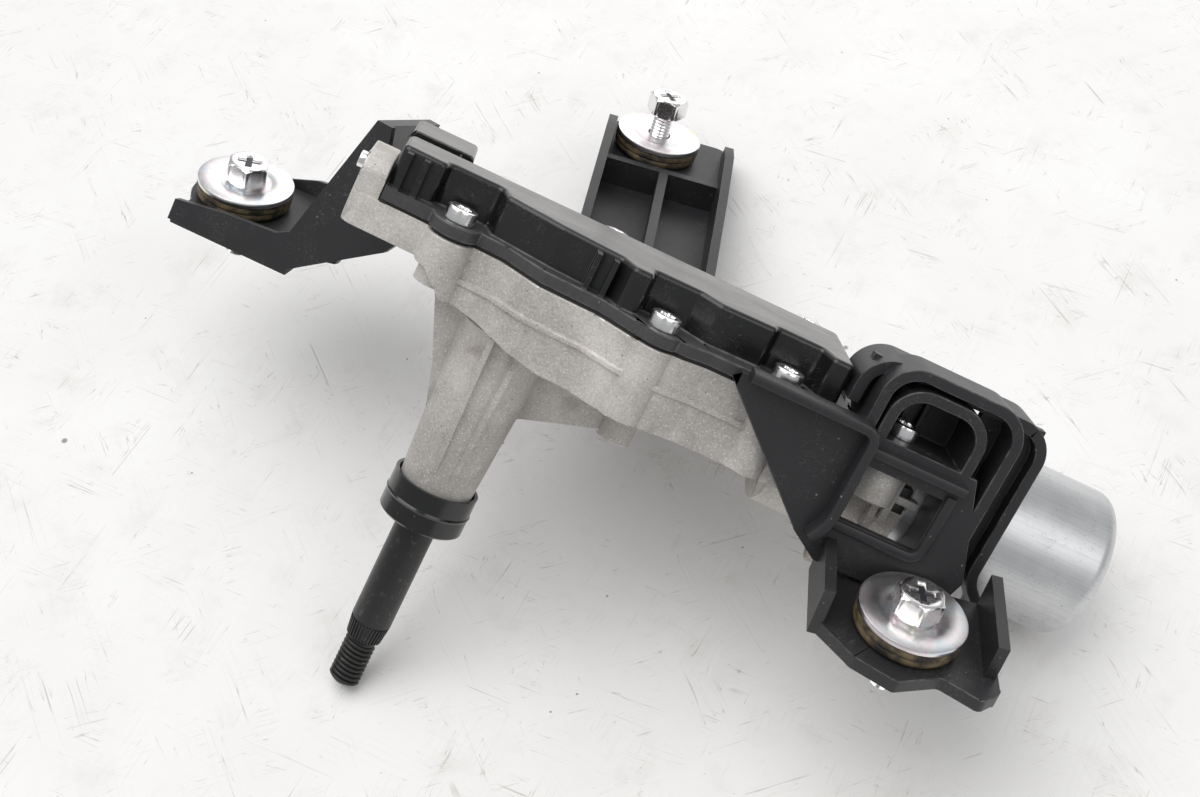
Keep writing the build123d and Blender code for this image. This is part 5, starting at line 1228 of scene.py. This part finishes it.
@dataclass
class Screws:
    """Pan screws with a star recess, one shape on every place."""

    head_r: float = 3.6
    head: float = 3.2
    shank_r: float = 2.0
    recess_r: float = 1.75
    recess: float = 1.7
    flange_top: float = 100.8
    cover_places: tuple[Pair, ...] = (
        (-21.3, -12.0), (27.5, -23.5), (-12.0, 33.0), (17.0, 42.0), (71.0, 43.0))
    cover_turn: float = 17.0
    bracket_places: tuple[Pair, ...] = ((57.5, -21.5), (86.5, -21.5))
    bracket_turn: float = 40.0
    end_place: Triple = (-45.0, 2.0, 101.5)
    end_size: float = 0.55
    seat_start: Triple = (-20.0, 28.5, 0.0)
    seat_along: Triple = (-25.0, 8.0, 0.0)
    seat_places: tuple[Pair, ...] = ((9.5, 92.5), (19.0, 92.5))
    wall: float = 2.6
    root_places: Pair = (28.5, 42.0)
    root_height: float = 89.0
    can_x: float = 98.8
    can_axis_z: float = 85.3
    ear_reach: float = 22.5

    def screw(self, length: float) -> Mesh:
        """One screw, its head standing on the origin.

        Args:
            length: length of its shank.

        Returns:
            The screw as a mesh.
        """
        edge, top, recess = self.head_r, self.head, self.recess_r
        rings = (
            (self.shank_r * 0.7, -length), (self.shank_r, 1.0 - length), (self.shank_r, 0.0),
            (edge - 0.15, 0.0), (edge, 0.2), (edge, top - 0.6), (edge - 0.15, top - 0.2), (edge - 0.5, top),
            (recess + 0.65, top), (star_section(recess + 0.1, 0.28), top - 0.12),
            (star_section(recess, 0.26), top - 0.35), (star_section(recess - 0.15, 0.2), top - self.recess))
        return to_mesh(turned(rings, 48), "screw")

    def flange(self, places: Sequence[Pair], turn: float) -> list[Matrix]:
        """Upright places on the cover's flange, each turned on by so many degrees."""
        return [standing((x, y, self.flange_top), (0, 0, 1), (1, 0, 0), turn * index)
                for index, (x, y) in enumerate(places)]

    def seats(self) -> list[Matrix]:
        """Finds the screws that hold the left and the rear arm.

        Returns:
            Their places.
        """
        along = Vector(self.seat_along).normalized()
        outward = Vector((along.y, -along.x, 0.0))
        start = Vector(self.seat_start) + outward * self.wall
        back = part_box("arm_screws")[1].y / MM - self.head
        return [
            *(standing(start + along * reach + Vector((0.0, 0.0, height)), outward, along)
              for reach, height in self.seat_places),
            *(standing((x, back, self.root_height), (0, 1, 0), (-1, 0, 0)) for x in self.root_places)]

    def build(self) -> None:
        """Makes and dresses every row of screws."""
        finish = BrightZinc("screw_zinc", tint=0.25).material()
        ears = [standing((self.can_x, 0, self.can_axis_z + way * self.ear_reach), (1, 0, 0), (0, 1, 0))
                for way in (-1, 1)]
        rows = (
            ("cover_screws", self.flange(self.cover_places, self.cover_turn), 10.0, 1.0),
            ("bracket_screws", self.flange(self.bracket_places, self.bracket_turn), 10.0, 1.0),
            ("end_screw", [standing(self.end_place, (-1, 0, 0), (0, 1, 0))], 8.0, self.end_size),
            ("arm_screws", self.seats(), 5.0, 1.0),
            ("can_screws", ears, 9.0, 1.0))
        for node, places, length, size in rows:
            mesh = screw_rows(self.screw(length), places, finish, node + "_pattern", size)
            dress(new_object(node + "_set", mesh), Body.HOUSING, Slot.ZINC, finish, node)


@dataclass(frozen=True)
class Foot:
    """One mount: the middle of its washer's top, its bolt's turn in degrees and lift over the washer."""

    name: str
    top: Triple
    turn: float
    lift: float = 0.0


@dataclass
class MountFeet:
    """The three feet: dished washers, stained rubber grommets and hex bolts with their threads."""

    feet: tuple[Foot, ...] = (
        Foot("left", (-73.9, 63.0, 71.1), 10.0), Foot("rear", (23.9, 121.1, 121.6), 25.0, 6.5),
        Foot("front", (101.3, -42.8, 71.9), 5.0))
    roll: float = 11.1
    pitch: float = 18.25
    across_flats: float = 10.0
    head: float = 5.6
    bolt_length: float = 22.5
    bolt_tip: float = 0.7
    thread: Thread = Thread(3.0, 0.55, 1.0)
    neck_r: float = 2.7
    low_neck: Triple = (-14.5, -0.4, 14.9)
    raised_neck: Triple = (-0.9, 0.0, 1.8)
    recess: tuple[Triple, ...] = ((3.0, 1.75, 0.1), (2.75, 1.45, 0.45), (2.1, 1.15, 1.9))
    # shape of the dark floor sunk in each bolt's recess: painted shade
    shade_floor: tuple[Triple, ...] = ((2.05, 1.1, 1.85), (2.62, 1.36, 0.62))
    washer_profile: tuple[Pair, ...] = (
        (3.3, -1.6), (12.1, -1.6), (12.45, -1.35), (12.5, -0.9), (12.5, -0.5), (12.35, -0.15), (12.0, 0.0),
        (8.4, 0.0), (7.6, -0.08), (6.9, -0.3), (6.3, -0.42), (3.3, -0.42))
    grommet_profile: tuple[Pair, ...] = (
        (5.02, -1.6), (11.7, -1.6), (12.15, -1.8), (12.4, -2.3), (12.4, -3.0), (12.1, -3.3), (11.95, -3.6),
        (12.2, -3.95), (12.25, -4.6), (11.9, -5.4), (11.0, -6.0), (8.0, -6.02), (8.0, -9.38), (10.1, -9.4),
        (10.8, -9.9), (11.0, -10.8), (11.0, -12.4), (10.7, -13.2), (10.0, -13.8), (5.02, -13.8))

    def place(self, foot: Foot, height: float = 0.0, turn: float = 0.0) -> Matrix:
        """Placement on a foot's bolt axis, a height over its washer."""
        lean = (-math.tan(math.radians(angle)) for angle in (self.roll, self.pitch))
        up = Vector((*lean, 1.0)).normalized()
        return standing(Vector(foot.top) + up * height, up, (1, 0, 0), turn)

    def bolt(self, low: float, high: float) -> Form:
        """A bolt about Z, its head standing on the origin.

        Args:
            low: height of the neck's lower end.
            high: height of its upper end.

        Returns:
            The bolt without its thread.
        """
        core, top = self.thread.core, self.head
        flats = ((5.15, 0.05), (math.inf, 0.5), (math.inf, top - 0.75), (5.35, top - 0.5), (4.95, top - 0.15),
                 (4.6, top))
        return turned((
            (core - 0.6, -self.bolt_length), (core, self.bolt_tip - self.bolt_length), (core, low),
            (self.neck_r, low + 0.25), (self.neck_r, high), (4.75, high), (4.85, 0.0),
            *((hex_section(self.across_flats, cap), height) for cap, height in flats), (3.3, top),
            *((cross_section(half, arm), top - depth) for half, arm, depth in self.recess)), 144)

    def build(self) -> None:
        """Makes and dresses the feet."""
        rings = (
            ("foot_washers", self.washer_profile, 96, Slot.ZINC, "mount_washers",
             BrightZinc("washer_zinc", roughness=0.30, tint=1.0)),
            ("foot_grommets", self.grommet_profile, 80, Slot.RUBBER, "mount_grommets",
             StainedRubber("grommet_rubber", stain=0.85)))
        for name, profile, segments, slot, node, finish in rings:
            solid = [to_mesh(turned(profile, segments, True), "ring", self.place(foot)) for foot in self.feet]
            dress(joined(solid, name), Body.HOUSING, slot, finish.material(), node)
        zinc = BrightZinc("bolt_zinc", tint=0.45).material()
        shade_floors = []
        for foot in self.feet:
            low, high, bare = self.raised_neck if foot.lift else self.low_neck
            at = self.place(foot, foot.lift, foot.turn)
            body = to_mesh(self.bolt(low, high), "bolt", at)
            start = self.place(foot, foot.lift - self.bolt_length + self.bolt_tip)
            ridge = self.thread.ridge(self.bolt_length - bare, start, zinc)
            name = foot.name + "_bolt"
            dress(joined((body, ridge), name + "_turned"), Body.HOUSING, Slot.ZINC, zinc, name)
            # painted shade: a dark cross-shaped floor sunk in each bolt's recess
            shade_floor = tuple((cross_section(half, arm), self.head - depth) for half, arm, depth in self.shade_floor)
            shade_floors.append(to_mesh(turned(shade_floor, 96), "recess", at))
        shade = InnerFinish("recess_shade", (0.055, 0.052, 0.062), 0.6, 0.35).material()
        dress(joined(shade_floors, "recess_floors"), Body.HOUSING, Slot.ZINC, shade)


@dataclass
class Spindle:
    """The output spindle: threaded tip, knurled cone, plain shaft and journal."""

    thread: Thread = Thread(4.0, 0.62, 1.25)
    thread_margins: Pair = (0.9, 0.8)
    tip: float = -17.9
    shoulder: float = -5.0
    shaft_r: float = 5.0
    cone_tip_r: float = 4.4
    knurl_count: int = 34
    knurl_depth: float = 0.42
    knurl_width: float = 0.42
    knurl_length: float = 4.5
    knurl_sink: float = 0.02
    journal_r: float = 4.7
    journal_z: float = 29.0
    clip_heights: Pair = (31.7, 32.9)
    groove_r: float = 4.1
    top: float = 95.8

    def profile(self) -> list[Pair]:
        """Outline of the turned body.

        Returns:
            Radii and heights from tip to top.
        """
        core = self.thread.core
        low, high = self.clip_heights
        groove = self.groove_r
        cone = self.knurl_depth * 0.7
        return [
            (core - 0.9, self.tip), (core - 0.1, self.tip + 0.8), (core, self.tip + 1.0),
            (core, self.shoulder - 0.5), (self.cone_tip_r - cone - 0.2, self.shoulder),
            (self.cone_tip_r - cone, self.shoulder + 0.2), (self.shaft_r - cone, -0.25),
            (self.shaft_r - 0.1, 0.05), (self.shaft_r, 0.25), (self.shaft_r, self.journal_z),
            (self.journal_r, self.journal_z), (self.journal_r, low), (groove, low), (groove, high),
            (self.journal_r, high), (self.journal_r, self.top - 0.4), (self.journal_r - 0.4, self.top)]

    def build(self) -> None:
        """Makes and dresses the spindle's pieces."""
        finish = BlackOxide().material()
        worn = BlackOxide("black_oxide_thread", (0.026, 0.025, 0.024), roughness=0.36, rubbed=0.6).material()
        body = new_object("spindle_shaft", to_mesh(turned(self.profile(), 96), "spindle_shaft"))
        dress(body, Body.SPINDLE, Slot.BLACK_STEEL, finish, "output_spindle")
        low, high = self.thread_margins
        foot = standing((0.0, 0.0, self.tip + low), (0, 0, 1), (1, 0, 0))
        ridge = self.thread.ridge(self.shoulder - self.tip - low - high, foot, worn)
        dress(new_object("spindle_thread", ridge), Body.SPINDLE, Slot.BLACK_STEEL, worn)
        slope = math.atan((self.shaft_r - self.cone_tip_r) / -self.shoulder)
        middle = (self.shaft_r + self.cone_tip_r) / 2 - self.knurl_depth / 2 - self.knurl_sink
        size = (self.knurl_depth, self.knurl_width, self.knurl_length)
        knurl = ridge_ring(self.knurl_count, size, middle, slope, worn)
        knurl.transform(Matrix.Translation((0.0, 0.0, self.shoulder / 2 * MM)))
        dress(new_object("spindle_knurl", knurl), Body.SPINDLE, Slot.BLACK_STEEL, worn)


class InnerPieces:
    """The CAD pieces that stay as they are, each with the finish of its slot."""

    def build(self) -> None:
        """Gives every shown node of the frame its material."""
        finishes = {slot: finish.material() for slot, finish in INNER_FINISHES.items()}
        slots = {row["node"]: row["material_slot"] for row in frame["record"]["subparts"]}
        for name, node in frame["nodes"].items():
            if node.hide_render:
                continue
            materials = node.data.materials
            if not materials:
                materials.append(None)
            for index in range(len(materials)):
                materials[index] = finishes[slots[name]]


@dataclass
class Studio:
    """The bench that the motor lies on, the light and the camera."""

    bench_size: float = 2.4
    bench_middle: Triple = (45.0, 40.0, 70.0)
    resting: tuple[str, ...] = (
        "output_spindle", "motor_can", "rear_arm", "left_arm", "front_bracket", "gear_case")
    camera_at: Triple = (-28.7, -377.1, 179.3)
    forward: Triple = (0.138, 0.954, -0.266)
    upward: Triple = (-0.409, 0.299, 0.862)
    lens: float = 51.0
    sensor: float = 36.0
    lit_middle: Triple = (40.0, 20.0, 80.0)
    behind: Triple = (-0.07, 0.60, 0.79)
    surround: tuple[Colour, float] = ((0.96, 0.98, 1.0), 0.42)
    backdrop: tuple[Colour, float] = ((0.94, 0.93, 0.92), 1.0)

    def bench(self) -> None:
        """Lays the bench against the three points that the motor rests on."""
        form = bmesh.new()
        bmesh.ops.create_grid(form, x_segments=8, y_segments=8, size=self.bench_size / 2)
        mesh = bpy.data.meshes.new("bench_top")
        form.to_mesh(mesh)
        form.free()
        bench = new_object("bench_top", mesh)
        meshes = [frame["nodes"][name].data for name in self.resting]
        low = min(vertex.co.dot(BENCH_NORMAL) for shape in meshes for vertex in shape.vertices)
        foot = Vector(self.bench_middle) * MM
        foot += BENCH_NORMAL * (low - foot.dot(BENCH_NORMAL))
        across = Vector(self.forward).cross(Vector(self.upward))
        bench.matrix_world = standing(foot / MM, BENCH_NORMAL, across)
        mesh.materials.append(BenchTop().material())

    def lamp(self, name: str, away: Vector, size: float, watts: float) -> None:
        """Sets a square lamp that looks at the motor's middle.

        Args:
            name: its name.
            away: the way to it from there, in metres.
            size: its side.
            watts: its power.
        """
        data = bpy.data.lights.new(name, "AREA")
        data.size = size
        data.energy = watts
        thing = bpy.data.objects.new(name, data)
        thing.location = Vector(self.lit_middle) * MM + away
        thing.rotation_euler = (-away).to_track_quat("-Z", "Y").to_euler()
        bpy.context.scene.collection.objects.link(thing)

    def light(self) -> None:
        """Soft light from over the camera's left shoulder and an even pale surround."""
        forward, upward = Vector(self.forward), Vector(self.upward)
        right = forward.cross(upward)
        self.lamp("key", BENCH_NORMAL * 1.05 - right * 0.30 + upward * 0.25, 1.3, 13.0)
        self.lamp("back", Vector(self.behind) * 0.95, 0.9, 2.7)
        self.lamp("fill", right * 0.5 - forward * 0.7 + BENCH_NORMAL * 0.1, 0.6, 1.5)
        world = bpy.data.worlds.new("surround")
        bpy.context.scene.world = world
        world.use_nodes = True
        tree = Tree(world.node_tree)
        soft, seen = (
            tree.wire("ShaderNodeBackground", None, {"Color": colour, "Strength": strength})
            for colour, strength in (self.surround, self.backdrop))
        camera_ray = tree.wire("ShaderNodeLightPath", output="Is Camera Ray")
        picked = tree.wire("ShaderNodeMixShader", None, {0: camera_ray, 1: soft, 2: seen})
        tree.node("ShaderNodeOutputWorld", None, {"Surface": picked})

    def camera(self) -> None:
        """Camera at the photograph's place."""
        forward = Vector(self.forward).normalized()
        right = forward.cross(Vector(self.upward)).normalized()
        data = bpy.data.cameras.new("camera")
        data.lens = self.lens
        data.sensor_width = self.sensor
        data.sensor_fit = "HORIZONTAL"
        data.clip_start = 0.01
        data.clip_end = 10.0
        thing = bpy.data.objects.new("camera", data)
        axes = Matrix((right, right.cross(forward), -forward)).transposed().to_4x4()
        thing.matrix_world = Matrix.Translation(Vector(self.camera_at) * MM) @ axes
        bpy.context.scene.collection.objects.link(thing)
        bpy.context.scene.camera = thing

    def build(self) -> None:
        """Sets the stage."""
        self.bench()
        self.light()
        self.camera()
        bpy.context.scene.view_settings.view_transform = "Standard"


def main() -> None:
    """Builds the sub-assemblies in order and reports each."""
    logging.basicConfig(level=logging.INFO, format="%(name)s: %(message)s")
    for kind in (Mouldings, BracketTrim, BellCross, Screws, MountFeet, Spindle, InnerPieces, Studio):
        kind().build()
        LOG.info("built %s", kind.__name__)


if __name__ == "__main__":
    main()
